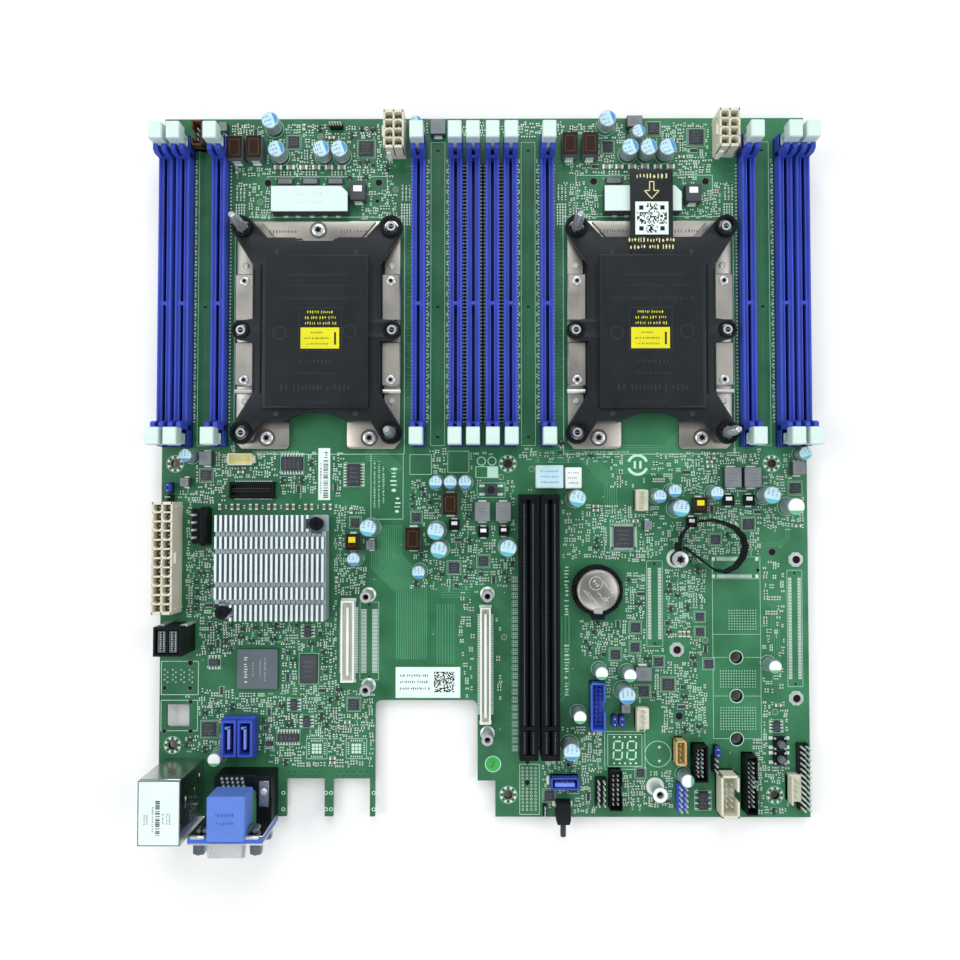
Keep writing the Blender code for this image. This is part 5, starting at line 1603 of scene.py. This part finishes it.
def make_labels():
    """Paper labels with generic bars and cells, and the two raised blocks with printed tops."""
    shape = Shape()
    draw = random.Random(5)
    shape.at(-75.4, -4.9).block(-2.8, 2.8, -12.3, 12.3, 0.0, 0.12, "label", 0.03)
    y = -11.2
    while y < 6.5:
        step = draw.choice((0.2, 0.35, 0.55))
        shape.block(-0.4, 1.9, y, y + step, 0.1, 0.15, "ink")
        y += step + draw.choice((0.25, 0.4, 0.6))
    add_words(shape, -1.6, -2.0, 15.0, 0.9, "ink", 90, 0.12, 201)
    add_words(shape, 0.8, 9.4, 4.0, 1.4, "ink", 90, 0.12, 202)
    claim(-75.4, -4.9, 6.4, 25.4)
    shape.at(-26.2, -102.8).block(-15.2, 15.2, -7.2, 7.2, 0.0, 0.12, "label", 0.03)
    cell, count = 0.5, 19
    for i in range(count):
        for j in range(count):
            if draw.random() < 0.5:
                shape.block(2.9 + i * cell, 2.9 + (i + 1) * cell, -4.5 + j * cell, -4.5 + (j + 1) * cell,
                            0.1, 0.15, "ink")
    for number, y in enumerate((3.2, 0.2, -2.8)):
        add_words(shape, -6.2, y, 14.0, 1.2, "ink", 0, 0.12, 210 + number)
    claim(-26.2, -102.8, 31, 15)
    for x, y, width, depth, height, colour in ((30.6, -6.4, 12.6, 10.6, 7.6, "aqua"),
                                               (41.8, -6.9, 7.6, 9.8, 6.0, "white")):
        shape.at(x, y)
        w, d = width / 2, depth / 2
        shape.block(-w, w, -d, d, 0.1, height, "white", 0.4)
        shape.block(-w + 0.3, w - 0.3, -d + 0.3, d - 0.3, height - 0.1, height + 0.08, colour, 0.05)
        for row in range(3):
            add_words(shape, 0.0, (row - 1) * depth * 0.24, width * 0.66, 0.9, "navy", 0, height + 0.07,
                      220 + row)
        claim(x, y, width + 1, depth + 1)
    shape.at(4.3, -140.7).turned(0, 0, [(3.8, 0.0), (3.8, 0.1), (3.65, 0.14)], "silk", 32)
    shape.disc(0, 0, 3.4, 0.18, "sticker", 32, 0.1)
    add_words(shape, 0.0, 0.0, 3.6, 1.4, "ink", 70, 0.17, 231)
    claim(4.3, -140.7, 8, 8)
    shape.make("labels")


def make_left_frames(marks, vias):
    """The printed frames by the left edge and round the cut-out, with rows of dots in the first."""
    for x0, x1, y0, y1 in ((-152.0, -134.2, -108.6, -93.0), (-152.0, -134.4, -125.4, -111.2)):
        marks.at()
        add_frame(marks, x0 + 0.4, x1, y0, y1, 0.25)
        claim((x0 + x1) / 2, (y0 + y1) / 2, x1 - x0, y1 - y0)
    for column in range(4):
        for row in range(6):
            lean = 0.7 if row % 2 else -0.7
            vias.at(-149.4 + column * 3.9 + lean, -97.0 - row * 1.15).disc(0, 0, 0.38, 0.06, "solder", 8)
            vias.disc(0, 0, 0.2, 0.08, "hole", 6, 0.05)


def make_slot_footprint(marks, vias):
    """An unfilled card slot by the left riser: a frame, four columns of holes and a peg hole."""
    marks.at()
    add_frame(marks, 16.8, 26.0, -164.0, -140.8, 0.22)
    for column in range(4):
        for row in range(13):
            x, y = 18.2 + column * 2.0, -142.6 - row * 1.6
            if math.hypot(x - 20.3, y + 149.3) > 1.9:
                vias.at(x, y).disc(0, 0, 0.5, 0.05, "solder", 8)
                vias.disc(0, 0, 0.3, 0.08, "hole", 8, 0.04)
    vias.at(20.3, -149.3).disc(0, 0, 1.2, 0.05, "hole", 16)
    claim(21.4, -152.4, 10.0, 24.0)


def make_fork_holes(vias):
    """Two rows of small plated holes above the rear forks and a pair on each fork tine."""
    spots = [(x0 + (x1 - x0) * i / 12, -144.3 - i % 2 * 2.0, 0.42)
             for x0, x1 in ((-91.4, -73.9), (-70.1, -51.7)) for i in range(13)]
    spots += [(x, y, 0.5) for x in (-93.8, -73.8, -71.5, -51.5) for y in (-154.2, -161.8)]
    for x, y, r in spots:
        pad, colour = (r + 0.45, "silk") if y < -150.0 else (r + 0.2, "track")
        vias.at(x, y).disc(0, 0, pad, 0.05, colour, 10)
        vias.disc(0, 0, r, 0.08, "hole", 10, 0.04)
    claim(-71.5, -145.2, 42.0, 4.4)


def make_display_marks():
    """The unfilled two-digit display, the buzzer circle, the card outline with its vias, and plain marks."""
    marks, vias = Shape(), Shape()
    marks.at(66.0, -134.3)
    add_frame(marks, -9.4, 9.4, -8.8, 8.8, 0.2)
    add_frame(marks, -8.0, 8.0, -7.4, 7.4, 0.2)
    for digit in (-3.2, 3.2):
        for x0, y0, x1, y1 in ((-1.4, 4.2, 1.4, 4.2), (-1.4, 0.0, 1.4, 0.0), (-1.4, -4.2, 1.4, -4.2),
                               (-2.0, 0.6, -1.8, 3.8), (2.0, 0.6, 2.2, 3.8), (-2.2, -3.8, -2.0, -0.6),
                               (1.8, -3.8, 2.0, -0.6)):
            marks.strip([(digit + x0, y0), (digit + x1, y1)], 0.7, "silk")
    vias.at(66.0, -134.3)
    for i in range(5):
        for y in (6.2, -6.0):
            vias.disc(-5.0 + i * PIN_STEP, y, 0.5, PAD_TOP, "solder", 10)
    claim(66.0, -134.3, 20, 18.5)
    marks.at(81.5, -136.0).ring(0, 0, 5.9, 6.15, SUNK, INK_TOP, "silk", 40)
    for y in (-3.2, 3.2):
        vias.at(81.5, -136.0).disc(0.6, y, 0.6, PAD_TOP, "solder", 12)
    claim(81.5, -136.0, 13, 13)
    marks.at()
    for a, b in (((107.5, -44.0), (107.5, -128.8)), ((129.9, -44.0), (129.9, -128.8)),
                 ((107.5, -128.8), (115.0, -128.8)), ((121.8, -128.8), (129.9, -128.8)),
                 ((107.5, -44.0), (129.9, -44.0))):
        marks.strip([a, b], 0.16, "silk")
    for y in (-54.2, -80.2, -91.0, -109.0):
        for x0, x1 in ((107.5, 114.4), (122.4, 129.9)) if y < -85.0 else ((107.5, 129.9),):
            marks.strip([(x0, y), (x1, y)], 0.14, "silk")
    for x0, x1, y0, y1 in ((111.0, 129.0, -124.4, -112.6), (111.0, 129.0, -104.8, -95.6),
                           (115.2, 129.4, -77.8, -67.8)):
        for i in range(int((x1 - x0) / 1.25)):
            for j in range(int((y1 - y0) / 1.25)):
                vias.at(x0 + i * 1.25, y0 + j * 1.25).disc(0, 0, 0.26, INK_TOP, "silk", 6)
    claim(118.6, -86.0, 22.6, 84)
    boxes = [(-45.7, -10.8, 15.2, 30.8), (-12.0, 0.9, 10.0, 10.0), (-29.8, -0.4, 10.2, 9.4),
             (-78.3, -133.7, 9.6, 9.4), (-59.7, -133.6, 9.6, 9.4), (3.5, -12.5, 13.2, 6.8)]
    for x, y, width, depth in boxes:
        marks.at(x, y)
        add_frame(marks, -width / 2, width / 2, -depth / 2, depth / 2, 0.2)
        claim(x, y, width + 0.6, depth + 0.6, 0.0)
    for x, y in ((-78.3, -133.7), (-59.7, -133.6)):
        vias.at(x, y).block(-2.6, 2.6, -2.6, 2.6, SUNK, 0.05, "track")
        for i in range(3):
            for j in range(3):
                vias.block(-2.2 + i * 1.6, -1.0 + i * 1.6, -2.2 + j * 1.6, -1.0 + j * 1.6, 0.0, 0.08,
                           "solder")
        for i in range(6):
            vias.pair(3.3, 4.1, -2.6 + i, -2.2 + i, SUNK, PAD_TOP, "solder")
            vias.pair_y(-2.6 + i, -2.2 + i, 3.3, 4.1, SUNK, PAD_TOP, "solder")
    marks.at(-45.7, -10.8)
    for number, (x, length, height) in enumerate(((-5.9, 22.0, 0.9), (-3.8, 22.0, 0.9), (-1.7, 18.0, 0.9),
                                                  (3.2, 15.0, 3.0))):
        add_words(marks, x, 1.0 if number < 3 else 4.6, length, height, "silk", 90, 0.0, 240 + number)
    add_words(marks, 5.0, -8.2, 9.0, 2.6, "silk", 90, 0.0, 246)
    for start in (20.0, 200.0):
        band = arc(0.0, 0.0, 4.5, start, start + 140.0, 15)
        marks.at(72.7, -0.6).strip(band, 1.3, "silk")
    for side in (-1, 1):
        marks.strip([(side * 1.3, -1.8), (side * 1.3, 1.8)], 1.1, "silk")
    claim(72.7, -0.6, 12, 12)
    for x in (-1.1, 3.9):
        marks.at(x, 1.2).ring(0, 0, 1.75, 2.1, SUNK, INK_TOP, "silk", 24)
    marks.at(1.5, -4.0)
    add_frame(marks, -5.2, 5.2, -2.6, 2.6, 0.3)
    marks.block(0.2, 5.0, -2.4, 2.4, SUNK, INK_TOP, "silk")
    claim(1.5, -1.4, 12, 10)
    make_left_frames(marks, vias)
    make_slot_footprint(marks, vias)
    make_fork_holes(vias)
    for x, y in ((38.9, -59.5), (38.8, -97.0)):
        marks.at(x, y)
        add_words(marks, 0.0, 0.0, 24.0, 2.2, "silk", 90, 0.0, int(-y))
        claim(x, y, 3.0, 25.0)
    marks.make("frames_and_marks")
    vias.make("unfilled_pads")


# ---------------------------------------------------------------- tracks

TRACKS = [
    ([(62.0, 2.0), (88.0, 2.0), (100.0, 14.0)], 14, 1.0, 0.45),
    ([(-46.0, -29.0), (-46.0, -46.0), (-34.0, -58.0), (-34.0, -92.0)], 15, 1.0, 0.45),
    ([(-20.0, -60.0), (-6.0, -60.0)], 6, 1.2, 0.4),
    ([(-90.0, -40.0), (-78.0, -52.0), (-78.0, -76.0)], 5, 1.2, 0.4),
    ([(-56.0, 4.0), (-48.0, 4.0), (-40.0, -4.0)], 6, 1.0, 0.4),
    ([(38.4, -72.0), (38.4, -106.0), (33.0, -112.0), (33.0, -128.0)], 3, 1.7, 0.7),
    ([(100.0, 14.6), (112.0, 14.6), (122.0, 4.6)], 5, 1.0, 0.4),
    ([(96.0, -104.0), (101.0, -109.0), (101.0, -126.0)], 4, 1.1, 0.4),
    ([(60.0, -22.0), (74.0, -36.0), (74.0, -44.0)], 4, 1.1, 0.4),
    ([(-140.0, 8.0), (-128.0, 8.0), (-122.0, 14.0), (-112.0, 14.0)], 5, 1.1, 0.4),
    ([(-18.0, -66.0), (-18.0, -94.0)], 7, 1.3, 0.45),
    ([(24.0, 3.4), (48.0, 3.4), (60.0, -8.6), (60.0, -24.0)], 6, 1.1, 0.4),
    ([(-128.0, -64.0), (-112.0, -64.0), (-106.0, -70.0), (-106.0, -84.0)], 6, 1.2, 0.4),
    ([(130.0, -60.0), (137.0, -67.0), (137.0, -104.0)], 4, 1.2, 0.4),
    ([(126.0, -38.0), (140.0, -38.0), (143.0, -35.0), (143.0, -28.0)], 2, 1.3, 0.4),
]


def make_tracks():
    """Bundles of parallel tracks under the mask, slightly lighter than the green around them."""
    shape = Shape()
    for path, count, gap, width in TRACKS:
        for i in range(count):
            shape.strip(offset(path, (i - (count - 1) / 2) * gap), width, "track", SUNK, TRACK_TOP)
    draw = random.Random(29)
    for x0, x1 in ((-119.0, -117.5), (-37.0, -34.0), (36.0, 38.6), (115.6, 119.6)):
        for i in range(34):
            y = 20.0 + i * 3.7
            shape.strip([(x0, y), (x0 + (x1 - x0) * draw.uniform(0.6, 1.0), y + draw.uniform(-0.5, 0.5))],
                        0.3, "track", SUNK, TRACK_TOP)
    shape.make("tracks")
    prints = Shape()
    for x in SOCKET_X:
        prints.at(x, SOCKET_Y)
        add_frame(prints, -40.4, 40.4, -57.8, 55.4, 0.25)
        for number, y in enumerate((-56.8, 56.6)):
            add_words(prints, -20.0, y, 22.0, 0.9, "silk", 0, 0.0, 260 + number)
    prints.make("socket_prints")
    vias = Shape()
    for x in SOCKET_X:
        for i in range(30):
            for j in range(6):
                if draw.random() < 0.7:
                    vias.at(x - 36 + i * 2.5, 119.0 - j * 1.5).disc(0, 0, 0.2, 0.04, "track", 6)
    for _ in range(STRAY_VIAS):
        x, y = draw.uniform(-150, 150), draw.uniform(-160, 160)
        if is_free(x, y, 0.8, 0.8) and on_board(x, y):
            vias.at(x, y).turned(0, 0, [(0.24, SUNK), (0.24, 0.04)],
                                 draw.choice(("track", "silk", "track_dark")), 6)
    vias.make("vias")


# ---------------------------------------------------------------- small parts

def on_board(x, y):
    """True well inside the outline, clear of the rear notch, its forks and the square cut-out."""
    if y < -111.0 and -51.0 < x < -3.0:
        return False
    if y < -144.0 and -112.0 < x < 13.0:
        return False
    if y < -136.0 and x < -51.0 and x > -98.0:
        return y > -142.0
    if x < -136.0 and -126.0 < y < -111.0:
        return False
    return abs(x) < 150.5 and abs(y) < 163.0


def add_passive(shape, kind, x, y, turn):
    """One small part: resistor, capacitor, array, transistor or a bare pair of pads."""
    shape.at(x, y, TOP, turn)
    if kind == "pads":
        shape.pair(0.25, 0.75, -0.32, 0.32, SUNK, PAD_TOP, "solder")
    elif kind in ("resistor", "capacitor"):
        body = "chip" if kind == "resistor" else "mlcc"
        tall = 0.35 if kind == "resistor" else 0.55
        shape.block(-0.42, 0.42, -0.28, 0.28, 0.0, tall, body)
        shape.pair(0.36, 0.85, -0.32, 0.32, SUNK, tall + 0.03, "solder")
    elif kind == "large":
        shape.block(-0.85, 0.85, -0.62, 0.62, 0.0, 0.9, "mlcc", 0.06)
        shape.pair(0.75, 1.45, -0.66, 0.66, SUNK, 0.93, "solder", 0.06)
    elif kind == "diode":
        shape.block(-0.95, 0.95, -0.8, 0.8, 0.05, 0.95, "chip", 0.1)
        shape.pair(0.85, 1.3, -0.4, 0.4, SUNK, 0.35, "solder")
    elif kind == "array":
        shape.block(-0.8, 0.8, -1.6, 1.6, 0.0, 0.5, "chip", 0.05)
        for i in range(4):
            shape.pair(0.65, 1.15, -1.4 + i * 0.8, -1.0 + i * 0.8, SUNK, 0.4, "solder")
    else:
        shape.block(-0.7, 0.7, -1.45, 1.45, 0.12, 1.0, "chip", 0.12)
        for side, spots in ((-1, (-0.95, 0.95)), (1, (0.0,))):
            for spot in spots:
                shape.block(*mirror(side, 0.6, 1.35), spot - 0.25, spot + 0.25, SUNK, 0.3, "solder")


SIZES = {"pads": (1.7, 0.8), "resistor": (2.0, 0.9), "capacitor": (2.0, 0.9), "large": (3.2, 1.6),
         "array": (2.6, 3.4), "transistor": (3.0, 3.2), "diode": (2.9, 1.9)}
COMMON = ["resistor"] * 5 + ["capacitor"] * 3 + ["pads"] * 6
MIXES = {
    "fine": COMMON,
    "mixed": COMMON + ["large", "array", "transistor"],
    "busy": (["resistor"] * 6 + ["capacitor"] * 3 + ["pads"] * 5 + ["transistor"] * 6 + ["diode"] * 6
             + ["array"]),
}
ZONES = [(46.0, 88.0, -88.0, -52.0, 520, "busy"), (50.0, 100.0, -110.0, -84.0, 300, "busy"),
         (86.0, 104.0, -90.0, -50.0, 130, "mixed"), (36.0, 60.0, -140.0, -124.0, 100, "mixed"),
         (46.0, 88.0, -160.0, -142.0, 130, "mixed"), (84.0, 104.0, -126.0, -104.0, 110, "mixed"),
         (26.0, 52.0, -163.0, -140.0, 110, "mixed"), (126.0, 142.0, -163.0, -112.0, 150, "mixed"),
         (-136.0, -94.0, -90.0, -60.0, 320, "busy"), (-96.0, -68.0, -128.0, -60.0, 380, "busy"),
         (-140.0, -96.0, -134.0, -106.0, 330, "busy"), (-100.0, -52.0, -142.0, -106.0, 260, "mixed"),
         (-70.0, -56.0, -64.0, -20.0, 130, "mixed"), (-34.0, 14.0, -58.0, -8.0, 420, "busy"),
         (52.0, 80.0, -46.0, -20.0, 170, "mixed"), (94.0, 130.0, -46.0, 2.0, 300, "mixed"),
         (132.0, 151.0, -30.0, 4.0, 110, "mixed"), (-124.0, -66.0, 138.0, 162.0, 300, "mixed"),
         (-66.0, -44.0, 136.0, 162.0, 150, "busy"), (-30.0, 38.0, 156.0, 163.0, 120, "fine"),
         (40.0, 62.0, 138.0, 162.0, 130, "mixed"), (62.0, 108.0, 136.0, 162.0, 260, "mixed"),
         (-120.0, -64.0, 112.0, 134.0, 90, "fine"), (-58.0, -42.0, 112.0, 134.0, 60, "fine"),
         (38.0, 54.0, 112.0, 134.0, 60, "fine"), (95.0, 116.0, 112.0, 134.0, 70, "fine"),
         (-136.0, -66.0, -14.0, 8.0, 150, "mixed"), (60.0, 110.0, -12.0, 8.0, 60, "fine"),
         (-30.0, 8.0, -4.0, 8.0, 50, "fine"), (-144.0, -138.0, -78.0, -8.0, 30, "fine"),
         (-124.0, -116.0, -60.0, -14.0, 60, "fine"), (-12.0, 8.0, -120.0, -60.0, 50, "fine"),
         (20.0, 46.0, -60.0, -10.0, 30, "fine"), (-34.0, 60.0, 3.0, 10.0, 90, "busy"),
         (104.0, 130.0, 2.0, 9.0, 40, "mixed"), (128.0, 142.0, -108.0, -46.0, 70, "fine"),
         (40.0, 112.0, -46.0, -20.0, 60, "fine"), (-141.0, -127.4, -72.0, -40.0, 150, "busy"),
         (-141.0, -127.4, -24.0, -14.0, 40, "mixed"), (-34.0, 60.0, 2.0, 10.0, 110, "busy"),]


def scatter(shape, marks, zone):
    """Fills a zone with short rows of like parts wherever the board is free."""
    x0, x1, y0, y1, count, mix = zone
    placed, tries = 0, 0
    while placed < count and tries < count * 26:
        tries += 1
        kind = RANDOM.choice(MIXES[mix])
        turn = RANDOM.choice((0, 90))
        width, depth = SIZES[kind] if turn == 0 else SIZES[kind][::-1]
        x, y = RANDOM.uniform(x0, x1), RANDOM.uniform(y0, y1)
        along = (0, depth + 0.35) if turn == 0 else (width + 0.35, 0)
        for i in range(RANDOM.randint(1, 5) if kind in ("pads", "resistor", "capacitor", "large") else 1):
            px, py = x + along[0] * i, y + along[1] * i
            if px > x1 or py > y1 or not is_free(px, py, width, depth) or not on_board(px, py):
                break
            add_passive(shape, kind, px, py, turn)
            claim(px, py, width, depth, 0.0)
            placed += 1
            if RANDOM.random() < 0.6:
                marks.at(px, py)
                if turn == 0:
                    marks.strip([(-width / 2, depth / 2 + 0.1), (width / 2, depth / 2 + 0.1)], 0.14, "silk")
                else:
                    marks.strip([(-width / 2 - 0.1, -depth / 2), (-width / 2 - 0.1, depth / 2)], 0.14, "silk")
        if placed and RANDOM.random() < 0.1 and is_free(x, y - 1.2, 3.0, 1.0) and on_board(x, y - 1.2):
            marks.at(x, y - 1.2)
            add_words(marks, 0, 0, 2.6, 0.8, "silk", RANDOM.choice((0, 90)), 0.0, RANDOM.randint(1, 9999))
            claim(x, y - 1.2, 3.0, 1.0, 0.0)


def make_small_parts():
    groups = [(Shape(), Shape()) for _ in range(4)]
    for number, zone in enumerate(ZONES):
        scatter(*groups[number % 4], zone)
    for name, (shape, marks) in zip("abcd", groups):
        shape.make(f"small_parts_{name}")
        marks.make(f"small_prints_{name}")


def make_columns():
    """Ordered rows of small parts beside the memory sockets and in front of the processors."""
    shape = Shape()
    for x in (-118.0, -39.0, 35.2, 114.5):
        for row in range(8):
            for column in range(4):
                shape.at(x + column * 1.25, 114.2 + row * 1.35).block(-0.3, 0.3, -0.45, 0.45, SUNK, PAD_TOP,
                                                                      "solder")
        for row in range(4):
            for column in range(3):
                kind = ("capacitor", "pads", "resistor")[(row + column) % 3]
                add_passive(shape, kind, x + 0.4 + column * 1.7, 126.4 + row * 1.9, 90)
        claim(x + 2.0, 122.0, 6.0, 19.0)
    for x in (-98.1, 58.5):
        for i in range(6):
            shape.at(x + i * 6.1, 141.4).block(-1.1, 1.1, -1.0, 1.0, 0.0, 1.2, "mlcc", 0.08)
            shape.pair(1.0, 1.9, -1.05, 1.05, SUNK, 1.24, "solder", 0.08)
            claim(x + i * 6.1, 141.4, 4.2, 2.4, 0.0)
            if i % 2 == 0:
                for step in range(4):
                    add_passive(shape, "capacitor", x + 1.4 + i * 6.1 + step * 1.5, 138.6, 90)
                claim(x + 3.6 + i * 6.1, 138.6, 6.4, 2.2, 0.0)
    for x0, x1, y0, y1 in ((-103.2, -46.0, 128.8, 137.3), (44.0, 109.0, 127.8, 137.6)):
        add_frame(shape.at(), x0, x1, y0, y1, 0.22)
    for i in range(19):
        add_passive(shape, ("large", "capacitor", "large")[i % 3], -124.6 + i * 2.9, -20.4, 90)
        claim(-124.6 + i * 2.9, -20.4, 2.2, 3.2, 0.0)
    for i in range(22):
        y = -54.0 - i * 3.75
        add_passive(shape, "pads", 14.6, y, 0)
        add_passive(shape, "pads", 14.6, y - 1.2, 0)
        add_frame(shape, -1.3, 1.3, -0.7, 1.9, 0.14)
        claim(14.6, y - 0.6, 2.8, 2.8, 0.0)
    for x in (-137.0, -144.9, -128.4, -26.2, -17.4, 17.0, 25.4, 128.0, 136.8):
        for i in range(26):
            add_passive(shape, "pads" if i % 4 else "capacitor", x, 22.0 + i * 4.9, 90)
    shape.make("small_parts_columns")


def make_underside():
    """Solder joints of the through-hole parts and sparse small parts below the board."""
    shape = Shape()
    for number in range(1, 13):
        x, y = centre(f"dimm_socket_{number:02d}")
        for end in (-66.0, -6.5, 66.0):
            shape.at(x, y + end, 0.0).turned(0, 0, [(0.5, -2.2), (0.9, -1.0), (1.2, 0.0)], "solder", 12)
    for node, columns, rows, pitch in (("atx_power_header", 2, 12, 4.2), ("eps_power_header_left", 2, 4, 4.2),
                                       ("eps_power_header_right", 2, 4, 4.2), ("lan_usb_stack", 5, 6, 2.5),
                                       ("video_serial_stack", 7, 4, 2.5)):
        x, y = centre(node)
        for i in range(columns):
            for j in range(rows):
                dx, dy = (i - (columns - 1) / 2) * pitch, (j - (rows - 1) / 2) * pitch
                shape.at(x + dx, y + dy, 0.0).turned(0, 0, [(0.4, -2.3), (0.7, -0.9), (1.1, 0.0)], "solder",
                                                     10)
    draw = random.Random(41)
    for x in SOCKET_X:
        for i in range(11):
            for j in range(14):
                if draw.random() < 0.7:
                    px, py = x - 17.5 + i * 3.5, SOCKET_Y - 23.4 + j * 3.6
                    shape.at(px, py, 0.0).block(-0.5, 0.5, -0.35, 0.35, -0.6, 0.0, "mlcc")
                    shape.pair(0.45, 0.85, -0.4, 0.4, -0.65, 0.0, "solder")
    for _ in range(UNDERSIDE_PARTS):
        x, y = draw.uniform(-145, 145), draw.uniform(-155, 155)
        if on_board(x, y) and not (2.0 < y < 124.0 and 34.0 < abs(x) < 122.0):
            shape.at(x, y, 0.0, draw.choice((0, 90)))
            shape.block(-0.45, 0.45, -0.3, 0.3, -0.5, 0.0, draw.choice(("chip", "mlcc")))
            shape.pair(0.4, 0.85, -0.35, 0.35, -0.55, 0.0, "solder")
    shape.make("underside_parts")


# ---------------------------------------------------------------- light, floor and camera

FLOOR_Z = -3.4


def pale_floor():
    made, tree, shader = blank_material("floor", 0.0)
    tone = add_noise(tree, 3.0)
    tree.links.new(add_ramp(tree, tone, [(0.3, (0.93, 0.93, 0.93, 1.0)), (0.7, (0.97, 0.97, 0.97, 1.0))]),
                   shader.inputs["Base Color"])
    shader.inputs["Roughness"].default_value = 0.9
    return made


def add_light(name, location, target, size, power):
    lamp = bpy.data.lights.new(name, "AREA")
    lamp.energy = power
    lamp.size = size
    made = bpy.data.objects.new(name, lamp)
    bpy.context.scene.collection.objects.link(made)
    made.location = location
    made.rotation_euler = (Vector(target) - Vector(location)).to_track_quat("-Z", "Y").to_euler()


def make_stage():
    mesh = bpy.data.meshes.new("floor")
    half = 4.0
    mesh.from_pydata([(-half, -half, 0), (half, -half, 0), (half, half, 0), (-half, half, 0)], [],
                     [(0, 1, 2, 3)])
    mesh.materials.append(pale_floor())
    floor = bpy.data.objects.new("floor", mesh)
    floor.location.z = FLOOR_Z * MM
    bpy.context.scene.collection.objects.link(floor)
    world = bpy.data.worlds.new("studio")
    world.use_nodes = True
    world.node_tree.nodes["Background"].inputs["Color"].default_value = (0.90, 0.96, 1.0, 1.0)
    world.node_tree.nodes["Background"].inputs["Strength"].default_value = 0.27
    bpy.context.scene.world = world
    for name, location, power in (("front", (0.0, 1.05, 0.95), 9.4), ("left", (-1.05, 0.1, 0.95), 8.2),
                                  ("right", (1.05, 0.1, 0.95), 6.6), ("rear", (0.0, -1.05, 0.95), 6.6)):
        add_light(name, location, (0.0, 0.0, 0.0), 0.9, power)
    bpy.context.scene.view_settings.view_transform = "Standard"
    lens = bpy.data.cameras.new("camera")
    lens.lens = 30.57
    lens.sensor_width = 36.0
    lens.shift_x, lens.shift_y = 0.0002, 0.001
    lens.clip_start = 0.01
    camera = bpy.data.objects.new("camera", lens)
    camera.location = (0.0, -0.0185, 0.387)
    camera.rotation_euler = [math.radians(a) for a in (1.535, 0.274, -0.01)]
    bpy.context.scene.collection.objects.link(camera)
    bpy.context.scene.camera = camera


finish_node("pcb", "mask")
make_hole_rings()
make_memory()
make_memory_footprints()
make_processor_sockets()
make_power_headers()
make_heatsink()
make_coin_cell()
make_riser_slots()
make_network_stack()
make_video_stack()
make_storage_connectors()
make_buttons()
make_cans()
make_chokes()
make_voltage_blocks()
make_chips()
make_headers()
make_mezzanines()
make_standoffs()
make_strap()
make_labels()
make_display_marks()
make_columns()
make_small_parts()
make_tracks()
make_underside()
make_stage()
